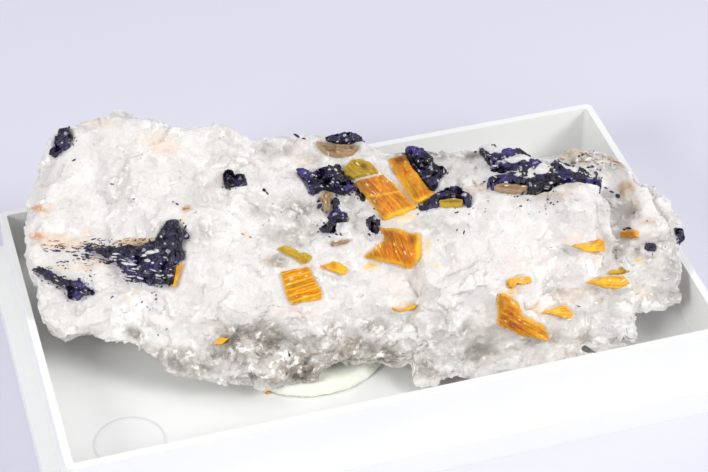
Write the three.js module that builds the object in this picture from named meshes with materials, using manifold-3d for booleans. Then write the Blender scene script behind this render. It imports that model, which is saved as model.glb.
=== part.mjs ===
// Yoderite and kyanite in quartz, set on putty in a shallow white specimen tray.
// Millimetres, +Z up, X along the tray, Y across it. The origin is on the
// surface that the tray stands on, under the middle of the tray.

import * as THREE from 'three';
import Module from 'manifold-3d';
import { ConvexGeometry } from 'three/addons/geometries/ConvexGeometry.js';
import { SimplexNoise } from 'three/addons/math/SimplexNoise.js';
import { TessellateModifier } from 'three/addons/modifiers/TessellateModifier.js';
import { mergeVertices } from 'three/addons/utils/BufferGeometryUtils.js';

const wasm = await Module();
wasm.setup();

// Tray: a plate with a skirt below and a raised wall above, inside a lid ledge.
const tray = {
  rimLength: 110,
  rimWidth: 63.6,
  rimHeight: 15.4,
  ledgeWidth: 2.75,
  ledgeHeight: 5.3,
  floorHeight: 5.5,
  plateThickness: 1.3,
  wall: 1.25,
  rimCorner: 1.2,
  ledgeCorner: 2.2,
  cornerSteps: 3,
};

// Putty pad pressed between the floor and the quartz. Its rim bulges at half of
// the lip's height and slopes in to the top.
const putty = {
  centre: [-9.5, -4.2],
  radius: 14.4,
  thickness: 2.1,
  lip: 0.9,
  footInset: 0.2,
  browInset: 0.3,
  topInset: 1.4,
  steps: 24,
};

// Clear space kept between two pieces that touch. A pocket's sides keep a little
// more, and it opens out past the crystal's top.
const gap = 0.3;
const pocket = { side: 0.36, overBlade: 5, overMass: 3 };

// Quartz surface: facet size, fracture chips and grain.
const quartz = {
  seed: 57,
  facetEdge: 4.8,
  chipCount: 260,
  chipReach: 7.5,
  chipDepth: 0.9,
  chipTilt: 0.34,
  deepestChip: 1.3,
  grainPitch: 4.5,
  grainHeight: 0.5,
  splits: 12,
};

// Yoderite masses stand a little proud and are lumpy; kyanite has flat faces.
const yoderite = { proud: 0.45, lump: 0.5, sunk: 1.6, facetEdge: 2.6, splits: 8 };
const kyanite = { proud: 0.35, bevel: 0.25 };

// Height that the probes for a mass's top start from, over its plane.
const probeHeight = 25;

// An outline point off the rock is drawn in by this share of the way at a time.
const pullStep = 0.1;

// A sharp corner of an outline that is grown moves out by at most 1 / sharpest.
const sharpest = 0.45;

// Corners closer than this are one corner, in mm.
const weld = 1e-3;

// The point that the crystals' outlines were surveyed from. Each outline point
// is [u, v], right and down in a 708 x 472 view with this eye and focal length.
const survey = {
  eye: [-76.7, -259, 256.1],
  pitch: 40.82,
  yaw: 16.51,
  focal: 2145.8,
  middle: [354, 236],
};

// Sections of the main quartz body across the tray, from the left end to the
// right. Each ring is [y, z] from the lower front edge, up the front, over the
// brow to the back edge, down the back and along the underside.
const stations = [
  {
    x: -52.9,
    ring: [
      [3, 13], [0.4, 16.4], [3.5, 20.5], [9, 23.4], [15.5, 24.8],
      [19, 24.6], [22, 19], [21, 14], [15, 12.5],
    ],
  },
  {
    x: -50,
    ring: [
      [0.4, 11], [-2.4, 14.4], [2.5, 19.5], [9, 23.6], [17, 27.6],
      [22, 28.4], [26, 22], [25, 13], [14, 11.5],
    ],
  },
  {
    x: -46,
    ring: [
      [0, 10.4], [-3.6, 14], [2.4, 19], [9, 23.8], [18, 30.8],
      [27, 34.9], [29, 24], [26, 12], [12, 10.5],
    ],
  },
  {
    x: -40,
    ring: [
      [-2.5, 10], [-6, 13.5], [0, 19], [7, 24.2], [18, 31.3],
      [27.8, 36.9], [29.3, 24], [26, 11], [11, 9.5],
    ],
  },
  {
    x: -33,
    ring: [
      [-11.4, 7.8], [-13.5, 12], [-6.5, 19.5], [3, 26], [15, 33.2],
      [26.7, 38.2], [29.3, 24], [24, 9.5], [8, 8.2],
    ],
  },
  {
    x: -25,
    ring: [
      [-15.4, 7.4], [-16.6, 12], [-9.5, 20], [0, 27], [12, 33],
      [22.8, 36.9], [27, 23], [22, 8.8], [4, 8],
    ],
  },
  {
    x: -15,
    ring: [
      [-17.2, 7.8], [-18.6, 11.5], [-12.5, 19.3], [-3, 26.5], [9, 32.8],
      [21.3, 36], [24, 22], [19, 8.5], [1, 8],
    ],
  },
  {
    x: -12,
    ring: [
      [-17.6, 7.9], [-18.8, 11.5], [-12.5, 19.3], [-3.5, 26.3], [8, 31],
      [18.7, 33.8], [22, 21], [18, 8.5], [1, 8],
    ],
  },
  {
    x: -2,
    ring: [
      [-18.2, 8.6], [-19.6, 12], [-13, 19.5], [-4.5, 26.8], [7, 30.4],
      [18, 32.9], [20.5, 20], [16, 8.5], [-1, 8],
    ],
  },
  {
    x: 6,
    ring: [
      [-20.5, 7.8], [-20, 12], [-13, 20], [-4, 28.3], [5, 31.8],
      [14, 32.7], [18, 20], [14, 8.5], [-3, 8],
    ],
  },
  {
    x: 14,
    ring: [
      [-22, 7.2], [-21, 12.5], [-15, 22], [-5, 30.6], [4, 31.4],
      [10.4, 31.2], [15, 20], [12, 8.5], [-5, 8],
    ],
  },
  {
    x: 24,
    ring: [
      [-23.5, 7], [-22.5, 13], [-17, 22.5], [-7, 32], [0, 33.2],
      [5.8, 33], [12, 20], [10, 8.5], [-6, 8],
    ],
  },
  {
    x: 33,
    ring: [
      [-24.5, 7], [-23.5, 13], [-19, 22.5], [-10, 32.8], [-4, 34.4],
      [1.4, 33.4], [9, 19], [8, 8.5], [-7, 8],
    ],
  },
  {
    x: 37,
    ring: [
      [-24.5, 8], [-23.5, 13], [-19.5, 22], [-13, 32], [-7, 33],
      [-1.8, 31.2], [6, 19], [5, 8.5], [-8, 8],
    ],
  },
  {
    x: 41,
    ring: [
      [-22, 10], [-21, 13], [-16, 18], [-13.5, 31], [-8, 31],
      [-3, 29.5], [4, 19], [3, 10], [-8, 9],
    ],
  },
];

// Blocks that stand against the main body, each the hull of its corners.
const blocks = [
  // Back right block.
  [
    [36, 6, 29.2], [41, 4, 30.6], [45, 0.5, 31], [48, -1.6, 29.8], [49.3, -8, 26.3], [50, -14, 24.3],
    [51.5, -19, 18], [51, -22, 12], [49.5, -21, 10], [43, -20, 10], [49, 3, 9.5], [38, 9, 9],
    [50.5, -2, 18],
  ],
  // Shelf of the back right block.
  [
    [47.5, -1, 26.4], [50.8, -3.4, 27], [52.9, -7.4, 26.8], [53.2, -13, 25], [53, -16.5, 22.5],
    [52.6, -20, 16], [52.2, -20.6, 11.6], [48, -21.4, 9.6], [51, 0, 14], [47, -12, 12],
  ],
  // Front block, stepped forward at its left side.
  [
    [8.6, -15.2, 23], [7.4, -21.4, 14.5], [3, -22.5, 7.5], [9.2, -24.6, 7.5], [20, -25.3, 7],
    [31, -25.5, 7.2], [41, -24.5, 8.5], [24, -23, 17], [22, -19, 23.5], [8.8, -6, 26], [30, -10, 30],
    [36, -14, 26], [14, 0, 8], [36, -4, 9],
  ],
  // Lower right ledge.
  [
    [22, -22, 16.5], [30, -20, 18.5], [40, -17.5, 18.3], [46, -17, 17.5], [45.5, -20.5, 15],
    [42.5, -25.5, 8], [24, -25.8, 8], [30, -14, 19], [44, -12, 12], [40, -10, 9],
  ],
];

// Kyanite blades: outline as surveyed and thickness in mm. The thinnest have no
// bevel.
const blades = [
  {
    name: 'kyanite_long_blade_upper',
    look: 'olive',
    thick: 3,
    outline: [
      [342, 167], [352, 159], [360, 158], [373, 164], [377, 170], [376, 172],
      [352, 178], [345, 173],
    ],
  },
  {
    name: 'kyanite_long_blade_lower',
    look: 'amber',
    thick: 3.2,
    outline: [[353.5, 181], [378, 174.5], [383, 173.5], [416.5, 206.6], [384, 218], [368, 198]],
  },
  {
    name: 'kyanite_second_blade',
    look: 'amber',
    thick: 2.6,
    outline: [
      [389, 158], [405, 153.6], [411, 165], [433, 192.5], [432, 195.5], [418, 201],
      [410.5, 195],
    ],
  },
  {
    name: 'kyanite_broad_plate',
    look: 'amber',
    thick: 2.6,
    outline: [[379, 226.7], [420, 235.3], [421.3, 257.3], [411, 268.8], [365, 257.3], [385, 240]],
  },
  {
    name: 'kyanite_striated_block',
    look: 'amber',
    thick: 3,
    outline: [
      [281, 270.7], [308.4, 266], [321.8, 291.7], [321.8, 298.4], [293, 304], [287.4, 296.5],
    ],
  },
  {
    name: 'kyanite_olive_blade',
    look: 'olive',
    thick: 2,
    outline: [[277, 248.7], [284.5, 244.5], [313, 256.3], [306.5, 264]],
  },
  {
    name: 'kyanite_short_wedge',
    look: 'amber',
    thick: 2,
    outline: [[321, 266.8], [334, 261], [349.5, 268.8], [344.8, 276.4]],
  },
  {
    name: 'kyanite_sliver_upper',
    look: 'tan',
    thick: 1.5,
    bevel: 0,
    outline: [[333, 241.6], [349.5, 238.6], [349.5, 241.4], [334, 244.6]],
  },
  {
    name: 'kyanite_sliver_middle',
    look: 'amber',
    thick: 1.5,
    bevel: 0,
    outline: [[391, 307], [402, 309.5], [416.5, 303.8], [415.5, 308.4], [402, 312.5]],
  },
  {
    name: 'kyanite_sliver_lower_left',
    look: 'amber',
    thick: 1.5,
    bevel: 0,
    outline: [[213.4, 343.4], [219.4, 338], [230.2, 337.6], [221.3, 345]],
  },
  {
    name: 'kyanite_brown_bar',
    look: 'tan',
    thick: 1.6,
    bevel: 0,
    outline: [
      [321.8, 192.6], [334, 191.6], [333.5, 196.6], [330.4, 198.9], [329.5, 209], [325.4, 209],
      [325, 198], [322.6, 197],
    ],
  },
  {
    name: 'kyanite_tan_plates_at_the_top',
    look: 'tan',
    thick: 2.2,
    bevel: 0,
    outline: [[316, 141], [337, 144.5], [358, 144.5], [352.4, 151], [334, 153.5], [323.7, 149.5]],
  },
  {
    name: 'kyanite_olive_lens',
    look: 'olive',
    thick: 1.8,
    bevel: 0,
    proud: 1,
    outline: [[439, 197.8], [450, 196], [463, 197], [463, 201], [450, 202], [439, 201]],
  },
  {
    name: 'kyanite_dart',
    look: 'amber',
    thick: 1.8,
    bevel: 0,
    outline: [
      [577, 246.5], [596, 243.7], [600.4, 239.4], [604.7, 240.2], [605.5, 252.3], [591, 251.4],
    ],
  },
  {
    name: 'kyanite_ledge_blade',
    look: 'amber',
    thick: 1.8,
    outline: [
      [590, 281.5], [609.8, 276], [625.3, 276], [631.4, 283.6], [618.5, 287.4], [606.4, 286.4],
    ],
  },
  {
    name: 'kyanite_ledge_sliver',
    look: 'olive',
    thick: 1.5,
    bevel: 0,
    outline: [[612, 267.6], [623.6, 266.8], [631.4, 271.6], [611.6, 272.4]],
  },
  {
    name: 'kyanite_shaded_bar',
    look: 'amber',
    thick: 1.8,
    outline: [[620, 231.8], [636.5, 230], [636.5, 237.6], [619.3, 237.2]],
  },
  {
    name: 'kyanite_corner_blade',
    look: 'amber',
    thick: 2.8,
    outline: [
      [499, 294.5], [506.5, 295], [518.6, 304], [523.7, 317], [544.4, 326.5], [550.4, 338.4],
      [546, 342.2], [522, 335], [498.2, 326.3],
    ],
  },
  {
    name: 'kyanite_fishtail',
    look: 'amber',
    thick: 1.8,
    bevel: 0,
    outline: [
      [543.5, 312.6], [558, 309], [565, 304.8], [568.5, 309], [573.7, 314.3], [571, 319],
      [556.5, 315.4],
    ],
  },
  {
    name: 'kyanite_hook',
    look: 'amber',
    thick: 1.6,
    bevel: 0,
    outline: [[510, 278], [530.6, 276.7], [531.5, 281.6], [517, 283.3], [515, 287.8], [510, 286]],
  },
  {
    name: 'kyanite_strip_by_the_boot',
    look: 'amber',
    thick: 1.8,
    bevel: 0,
    outline: [[176.5, 266], [182.8, 262.5], [175.5, 286.8], [172.6, 287.4]],
  },
  {
    name: 'tan_lens_in_the_ragged_band',
    look: 'tan',
    thick: 1.8,
    bevel: 0,
    proud: 1,
    outline: [
      [494, 184.6], [502, 182], [514, 181.8], [528, 184], [526, 187], [513, 188.4],
      [501, 187.4],
    ],
  },
];

// Yoderite masses: outline as surveyed.
const masses = [
  {
    name: 'yoderite_upper_left',
    outline: [
      [61, 131.5], [69, 130], [72.5, 138.4], [68, 146.3], [59.3, 151.3], [54.3, 156.2],
      [49.4, 154.2], [50, 149.3], [56, 146], [54.3, 141.8],
    ],
  },
  {
    name: 'yoderite_boot',
    outline: [
      [87, 248], [105, 244], [111, 248], [128.5, 246], [142, 246.7], [156, 241],
      [168, 222], [176, 220], [187, 235.3], [181, 246], [184, 259.5], [173, 265.5],
      [170.5, 284.5], [149, 284.3], [136.4, 279.7], [124.5, 269], [112, 259], [95, 253],
    ],
  },
  {
    name: 'yoderite_lower_left',
    outline: [
      [34, 271.5], [40, 269], [49.4, 271.8], [57.3, 277], [75, 280.5], [81, 279.7],
      [87, 287], [94.5, 292.6], [83, 295.8], [77, 299.5], [68, 297.5], [69, 291.6],
      [57.3, 285.5], [49, 278.5],
    ],
  },
  {
    name: 'yoderite_small_middle',
    outline: [
      [224.5, 174], [230.2, 173], [234.2, 176.6], [244.4, 177.6], [245, 182.2], [235.2, 183.2],
      [229.2, 186.2], [224.5, 185],
    ],
  },
  {
    name: 'yoderite_beside_the_long_blade',
    outline: [
      [297, 171], [303.6, 170.6], [312, 178], [319.9, 170.6], [337, 166.8], [350.5, 174],
      [352.4, 182], [364, 187.5], [368.5, 197.4], [362, 197.6], [353, 187], [346.7, 192.3],
      [337, 190.6], [329.5, 188], [320.9, 188], [311.6, 192], [309, 183.6], [303, 176],
    ],
  },
  {
    name: 'yoderite_drip',
    outline: [
      [332, 199.5], [338, 200.9], [340.6, 209], [347, 211.4], [344.8, 218.4], [330, 215.6],
      [333.4, 210.4],
    ],
  },
  {
    name: 'yoderite_below_the_drip',
    outline: [[320, 229.5], [327.6, 222.5], [334.6, 222.5], [334, 231], [326.6, 233.2]],
  },
  {
    name: 'yoderite_beside_the_second_blade',
    outline: [
      [407, 151], [413.6, 149.4], [423.2, 152.6], [431, 160.3], [437, 168.8], [445.2, 170.3],
      [438, 177.4], [439, 185], [433, 189.6], [423.2, 182], [419, 171.5], [413, 164.5],
    ],
  },
  {
    name: 'yoderite_around_the_olive_lens',
    outline: [
      [419, 202.5], [433, 197.6], [446, 188.5], [459.5, 190.8], [470.6, 198], [469, 204.5],
      [455.7, 205.5], [438.5, 205], [429, 206], [419, 208.6],
    ],
  },
  {
    name: 'yoderite_chip',
    outline: [[367.5, 221.5], [373.5, 219.4], [382, 222.6], [379, 225], [377, 228], [372, 226.6]],
  },
  {
    name: 'yoderite_top_edge',
    outline: [
      [326, 139.2], [339, 134.8], [352.4, 135.4], [363, 139.4], [354.3, 142], [343, 143.4],
      [335, 141.6],
    ],
  },
  {
    name: 'yoderite_ragged_band',
    outline: [
      [479, 152], [492.7, 149], [501.3, 152.5], [516.8, 152], [529, 159.4], [541, 166],
      [549.6, 171.3], [556.5, 164], [570, 166.5], [579, 171.3], [591, 176.4], [600.4, 181],
      [599.5, 187], [587.5, 183], [577, 180.6], [567, 180], [553, 184.6], [541, 188.4],
      [531, 191], [513.4, 193], [501, 192], [488, 187], [490, 179.6], [512, 178.4],
      [524, 180], [521, 174], [511.7, 175.4], [506, 167], [494.4, 167.5], [488.5, 160.6],
    ],
  },
  {
    name: 'yoderite_spot_in_the_shade',
    outline: [[644.3, 244.8], [649.5, 243], [656, 245.7], [654, 250.9], [647.7, 250]],
  },
  {
    name: 'yoderite_right_edge',
    outline: [[676, 229], [680.5, 230], [682.5, 239], [679.5, 240.5]],
  },
];

// Repeatable random numbers.
function seeded(seed) {
  let state = seed;
  return () => {
    state = (state + 0x6d2b79f5) | 0;
    let t = Math.imul(state ^ (state >>> 15), 1 | state);
    t = (t + Math.imul(t ^ (t >>> 7), 61 | t)) ^ t;
    return ((t ^ (t >>> 14)) >>> 0) / 4294967296;
  };
}

// A closed geometry as a solid that can be joined and cut.
function solid(geometry) {
  const bare = geometry.clone();
  bare.deleteAttribute('normal');
  bare.deleteAttribute('uv');
  const merged = mergeVertices(bare, 1e-4);
  const vertProperties = new Float32Array(merged.attributes.position.array);
  const triVerts = new Uint32Array(merged.index.array);
  return new wasm.Manifold(new wasm.Mesh({ numProp: 3, vertProperties, triVerts }));
}

// A joined or cut solid back as a geometry with shared vertices.
function geometryOf(manifold) {
  const mesh = manifold.getMesh();
  const corners = new Float32Array(mesh.vertProperties);
  const geometry = new THREE.BufferGeometry();
  geometry.setAttribute('position', new THREE.BufferAttribute(corners, 3));
  geometry.setIndex(new THREE.BufferAttribute(new Uint32Array(mesh.triVerts), 1));
  return geometry;
}

// Plain rectangle with rounded corners.
function roundedRectangle(length, width, radius) {
  const shape = new THREE.Shape();
  const x = length / 2;
  const y = width / 2;
  shape.moveTo(-x + radius, -y);
  shape.lineTo(x - radius, -y);
  shape.absarc(x - radius, -y + radius, radius, -Math.PI / 2, 0);
  shape.lineTo(x, y - radius);
  shape.absarc(x - radius, y - radius, radius, 0, Math.PI / 2);
  shape.lineTo(-x + radius, y);
  shape.absarc(-x + radius, y - radius, radius, Math.PI / 2, Math.PI);
  shape.lineTo(-x, -y + radius);
  shape.absarc(-x + radius, -y + radius, radius, Math.PI, 1.5 * Math.PI);
  return shape;
}

// A rounded slab from one height to another.
function slab(length, width, radius, low, high) {
  const options = { depth: high - low, bevelEnabled: false, curveSegments: tray.cornerSteps };
  const geometry = new THREE.ExtrudeGeometry(roundedRectangle(length, width, radius), options);
  return solid(geometry.translate(0, 0, low));
}

function trayGeometry() {
  const t = tray;
  const ledgeLength = t.rimLength + 2 * t.ledgeWidth;
  const ledgeWide = t.rimWidth + 2 * t.ledgeWidth;
  const plateLow = t.floorHeight - t.plateThickness;
  const base = slab(ledgeLength, ledgeWide, t.ledgeCorner, 0, t.ledgeHeight);
  const wall = slab(t.rimLength, t.rimWidth, t.rimCorner, plateLow, t.rimHeight);
  const innerLength = t.rimLength - 2 * t.wall;
  const innerWidth = t.rimWidth - 2 * t.wall;
  const innerCorner = t.rimCorner - t.wall / 2;
  const inside = slab(innerLength, innerWidth, innerCorner, t.floorHeight, t.rimHeight + t.wall);
  const skirtLength = ledgeLength - 2 * t.wall;
  const skirtWidth = ledgeWide - 2 * t.wall;
  const under = slab(skirtLength, skirtWidth, t.ledgeCorner - t.wall, -t.wall, plateLow);
  return geometryOf(base.add(wall).subtract(inside).subtract(under));
}

// The putty pad, or with some growth the seat that it needs in the rock.
function puttyGeometry(growth) {
  const radius = putty.radius + growth;
  const thickness = putty.thickness + growth;
  const profile = [
    new THREE.Vector2(0, 0),
    new THREE.Vector2(radius - putty.footInset, 0),
    new THREE.Vector2(radius, putty.lip / 2),
    new THREE.Vector2(radius - putty.browInset, putty.lip),
    new THREE.Vector2(radius - putty.topInset, thickness),
    new THREE.Vector2(0, thickness),
  ];
  const geometry = new THREE.LatheGeometry(profile, putty.steps);
  geometry.rotateX(Math.PI / 2);
  return geometry.translate(putty.centre[0], putty.centre[1], tray.floorHeight + gap);
}

// Triangles that close a ring whose first vertex has the index first. side is
// 1 where the ring's own order already faces out and -1 where it faces in.
function endCap(ring, first, side) {
  const outline = ring.map(([y, z]) => new THREE.Vector2(y, z));
  const faces = [];
  for (const [a, b, c] of THREE.ShapeUtils.triangulateShape(outline, [])) {
    const turn = Math.sign(THREE.ShapeUtils.area([outline[a], outline[b], outline[c]]));
    const swap = turn * side > 0;
    faces.push(first + a, first + (swap ? c : b), first + (swap ? b : c));
  }
  return faces;
}

// The main body: flat ends and straight facets between neighbouring rings.
function loftGeometry() {
  const around = stations[0].ring.length;
  const vertices = [];
  const faces = [];
  for (const { x, ring } of stations) {
    for (const [y, z] of ring) {
      vertices.push(x, y, z);
    }
  }
  for (let s = 0; s + 1 < stations.length; s += 1) {
    for (let k = 0; k < around; k += 1) {
      const a = s * around + k;
      const b = s * around + (k + 1) % around;
      faces.push(a, a + around, b, b, a + around, b + around);
    }
  }
  const last = (stations.length - 1) * around;
  faces.push(...endCap(stations[0].ring, 0, 1));
  faces.push(...endCap(stations[stations.length - 1].ring, last, -1));
  const geometry = new THREE.BufferGeometry();
  geometry.setAttribute('position', new THREE.Float32BufferAttribute(vertices, 3));
  geometry.setIndex(faces);
  return geometry;
}

function quartzBlock() {
  let body = solid(loftGeometry());
  for (const corners of blocks) {
    body = body.add(solid(new ConvexGeometry(corners.map((c) => new THREE.Vector3(...c)))));
  }
  return body;
}

// Break the flat blocks into small facets.
function facetted(manifold) {
  const coarse = geometryOf(manifold).toNonIndexed();
  const fine = new TessellateModifier(quartz.facetEdge, quartz.splits).modify(coarse);
  return mergeVertices(fine, weld);
}

// Fracture chips cut the proud ground back to tilted planes, then a fine grain
// lifts and sinks what is left.
function roughened(geometry) {
  geometry.computeVertexNormals();
  const random = seeded(quartz.seed);
  const grain = new SimplexNoise({ random });
  const position = geometry.attributes.position;
  const normal = geometry.attributes.normal;
  const points = [];
  const normals = [];
  for (let i = 0; i < position.count; i += 1) {
    points.push(new THREE.Vector3().fromBufferAttribute(position, i));
    normals.push(new THREE.Vector3().fromBufferAttribute(normal, i));
  }
  const left = points.map(() => quartz.deepestChip);
  for (let chip = 0; chip < quartz.chipCount; chip += 1) {
    const at = Math.floor(random() * points.length);
    const centre = points[at].clone();
    const tilt = new THREE.Vector3(random() - 0.5, random() - 0.5, random() - 0.5);
    const facing = normals[at].clone().addScaledVector(tilt, 2 * quartz.chipTilt).normalize();
    const level = facing.dot(centre) - quartz.chipDepth * random();
    points.forEach((point, i) => {
      const proud = Math.min(facing.dot(point) - level, left[i]);
      if (proud > 0 && point.distanceTo(centre) < quartz.chipReach) {
        point.addScaledVector(facing, -proud);
        left[i] -= proud;
      }
    });
  }
  points.forEach((point, i) => {
    const p = point.clone().divideScalar(quartz.grainPitch);
    point.addScaledVector(normals[i], quartz.grainHeight * grain.noise3d(p.x, p.y, p.z));
    position.setXYZ(i, point.x, point.y, point.z);
  });
  geometry.deleteAttribute('normal');
  return geometry;
}

// Direction of the sight line through one point of the survey view.
function sightLine([u, v]) {
  const pitch = THREE.MathUtils.degToRad(survey.pitch);
  const yaw = THREE.MathUtils.degToRad(survey.yaw);
  const level = Math.cos(pitch);
  const forward = new THREE.Vector3(
    Math.sin(yaw) * level,
    Math.cos(yaw) * level,
    -Math.sin(pitch),
  );
  const right = new THREE.Vector3(Math.cos(yaw), -Math.sin(yaw), 0);
  const down = new THREE.Vector3().crossVectors(forward, right);
  return forward.multiplyScalar(survey.focal)
    .addScaledVector(right, u - survey.middle[0])
    .addScaledVector(down, v - survey.middle[1])
    .normalize();
}

const eye = new THREE.Vector3(...survey.eye);
const caster = new THREE.Raycaster();

// Where the sight lines of an outline meet the rock. A line that passes the
// rock is drawn in towards the middle of the outline until it meets it.
function seenOn(rock, outline) {
  const middle = [0, 1].map((k) => (
    outline.reduce((sum, point) => sum + point[k] / outline.length, 0)
  ));
  return outline.map((point) => {
    for (let pull = 0; pull < 1; pull += pullStep) {
      const drawn = point.map((value, k) => value + pull * (middle[k] - value));
      caster.set(eye, sightLine(drawn));
      const hits = caster.intersectObject(rock);
      if (hits.length > 0) {
        return hits[0].point;
      }
    }
    throw new Error('an outline lies off the rock');
  });
}

// A plane through an outline's points: its middle, its normal and two axes.
function planeOf(points) {
  const middle = new THREE.Vector3();
  const normal = new THREE.Vector3();
  points.forEach((point, i) => {
    const next = points[(i + 1) % points.length];
    middle.addScaledVector(point, 1 / points.length);
    normal.add(new THREE.Vector3().crossVectors(point, next));
  });
  normal.normalize();
  if (normal.dot(eye) < 0) {
    normal.negate();
  }
  const across = new THREE.Vector3().crossVectors(new THREE.Vector3(0, 1, 0), normal).normalize();
  const along = new THREE.Vector3().crossVectors(normal, across);
  const matrix = new THREE.Matrix4().makeBasis(across, along, normal).setPosition(middle);
  return { middle, normal, matrix, inverse: matrix.clone().invert() };
}

// An outline in its plane, moved outwards by a distance.
function grown(outline, distance) {
  const turn = THREE.ShapeUtils.isClockWise(outline) ? -1 : 1;
  return outline.map((point, i) => {
    const before = outline[(i + outline.length - 1) % outline.length];
    const after = outline[(i + 1) % outline.length];
    const first = point.clone().sub(before).normalize();
    const second = after.clone().sub(point).normalize();
    const out = new THREE.Vector2(first.y + second.y, -first.x - second.x).normalize();
    const mitre = Math.max(sharpest, out.x * first.y - out.y * first.x);
    return point.clone().addScaledVector(out, turn * distance / mitre);
  });
}

// A prism on an outline in a plane, between two heights over the plane.
function prism(outline, plane, low, high, bevel = 0) {
  const options = { depth: high - low - 2 * bevel, bevelEnabled: bevel > 0, bevelSegments: 1 };
  options.bevelThickness = bevel;
  options.bevelSize = bevel;
  options.bevelOffset = -bevel;
  const geometry = new THREE.ExtrudeGeometry(new THREE.Shape(outline), options);
  return solid(geometry.translate(0, 0, low + bevel).applyMatrix4(plane.matrix));
}

// A flat-faced blade set in the rock, and the room that it needs there.
function blade(rock, { outline, thick, bevel = kyanite.bevel, proud = kyanite.proud }) {
  const plane = planeOf(seenOn(rock, outline));
  const top = plane.middle.clone().addScaledVector(plane.normal, proud);
  const face = new THREE.Plane().setFromNormalAndCoplanarPoint(plane.normal, top);
  const corners = outline.map((point) => {
    const corner = new THREE.Ray(eye, sightLine(point)).intersectPlane(face, new THREE.Vector3());
    corner.applyMatrix4(plane.inverse);
    return new THREE.Vector2(corner.x, corner.y);
  });
  return {
    piece: prism(corners, plane, proud - thick, proud, bevel),
    room: prism(grown(corners, pocket.side), plane, proud - thick - gap, proud + pocket.overBlade),
  };
}

// A lumpy mass whose top follows the rock, and the room that it needs there.
function mass(rock, { outline, seed }) {
  const plane = planeOf(seenOn(rock, outline));
  const flat = seenOn(rock, outline).map((point) => {
    const local = point.applyMatrix4(plane.inverse);
    return new THREE.Vector2(local.x, local.y);
  });
  const whole = new THREE.ShapeGeometry(new THREE.Shape(flat)).toNonIndexed();
  const split = new TessellateModifier(yoderite.facetEdge, yoderite.splits).modify(whole);
  const sheet = mergeVertices(split, weld);
  const random = seeded(seed);
  const position = sheet.attributes.position;
  const heights = [];
  const start = new THREE.Vector3();
  for (let i = 0; i < position.count; i += 1) {
    start.set(position.getX(i), position.getY(i), probeHeight).applyMatrix4(plane.matrix);
    caster.set(start, plane.normal.clone().negate());
    const hits = caster.intersectObject(rock);
    heights.push(hits.length > 0 ? probeHeight - hits[0].distance : 0);
  }
  const floor = Math.min(...heights) - yoderite.sunk;
  const ceiling = Math.max(...heights) + pocket.overMass;
  const count = position.count;
  const vertices = [];
  for (let i = 0; i < count; i += 1) {
    const lump = yoderite.proud + yoderite.lump * random();
    vertices.push(position.getX(i), position.getY(i), heights[i] + lump);
  }
  for (let i = 0; i < count; i += 1) {
    vertices.push(position.getX(i), position.getY(i), floor);
  }
  const faces = [];
  const edges = new Map();
  const index = Array.from(sheet.index.array);
  for (let f = 0; f < index.length; f += 3) {
    const [a, b, c] = index.slice(f, f + 3);
    faces.push(a, b, c, a + count, c + count, b + count);
    for (const [from, to] of [[a, b], [b, c], [c, a]]) {
      if (!edges.delete(`${to} ${from}`)) {
        edges.set(`${from} ${to}`, [from, to]);
      }
    }
  }
  for (const [from, to] of edges.values()) {
    faces.push(from, from + count, to, to, from + count, to + count);
  }
  const geometry = new THREE.BufferGeometry();
  geometry.setAttribute('position', new THREE.Float32BufferAttribute(vertices, 3));
  geometry.setIndex(faces);
  return {
    piece: solid(geometry.applyMatrix4(plane.matrix)),
    room: prism(grown(flat, pocket.side), plane, floor - gap, ceiling),
  };
}

const group = new THREE.Group();

function addPiece(name, geometry, look) {
  const mesh = new THREE.Mesh(geometry, new THREE.MeshStandardMaterial(look));
  mesh.name = name;
  group.add(mesh);
}

const looks = {
  tray: { color: 0xf2f4f0, roughness: 0.35, metalness: 0 },
  putty: { color: 0xe6ead8, roughness: 0.7, metalness: 0 },
  quartz: { color: 0xf0edea, roughness: 0.55, metalness: 0 },
  yoderite: { color: 0x241c4a, roughness: 0.4, metalness: 0 },
  amber: { color: 0xe0880c, roughness: 0.3, metalness: 0 },
  olive: { color: 0xae8f1c, roughness: 0.3, metalness: 0 },
  tan: { color: 0xa98252, roughness: 0.45, metalness: 0 },
};

// The largest piece of a solid, without splinters and sealed bubbles.
function largest(manifold) {
  return manifold.decompose().reduce((most, part) => (part.volume() > most.volume() ? part : most));
}

function build() {
  const rough = roughened(facetted(quartzBlock()));
  const rock = new THREE.Mesh(rough, new THREE.MeshBasicMaterial({ side: THREE.DoubleSide }));
  let matrix = solid(rough).subtract(solid(puttyGeometry(gap)));
  const crystals = [
    ...blades.map((crystal) => ({
      ...blade(rock, crystal),
      name: crystal.name,
      look: looks[crystal.look],
    })),
    ...masses.map((crystal, i) => ({
      ...mass(rock, { ...crystal, seed: quartz.seed + i + 1 }),
      name: crystal.name,
      look: looks.yoderite,
    })),
  ];
  // A crystal gives way to the rooms of the ones before it in the list.
  crystals.forEach(({ name, look, piece, room }, i) => {
    const kept = crystals.slice(0, i).reduce((rest, earlier) => rest.subtract(earlier.room), piece);
    matrix = matrix.subtract(room);
    addPiece(name, geometryOf(kept), look);
  });
  addPiece('quartz_matrix', geometryOf(largest(matrix)), looks.quartz);
  addPiece('mounting_putty', puttyGeometry(0), looks.putty);
  addPiece('specimen_tray', trayGeometry(), looks.tray);
}

build();

export default group;
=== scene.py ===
import itertools
import math

import bmesh
import bpy
import numpy as np
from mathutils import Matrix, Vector
from mathutils.bvhtree import BVHTree
from mathutils.kdtree import KDTree


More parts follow.
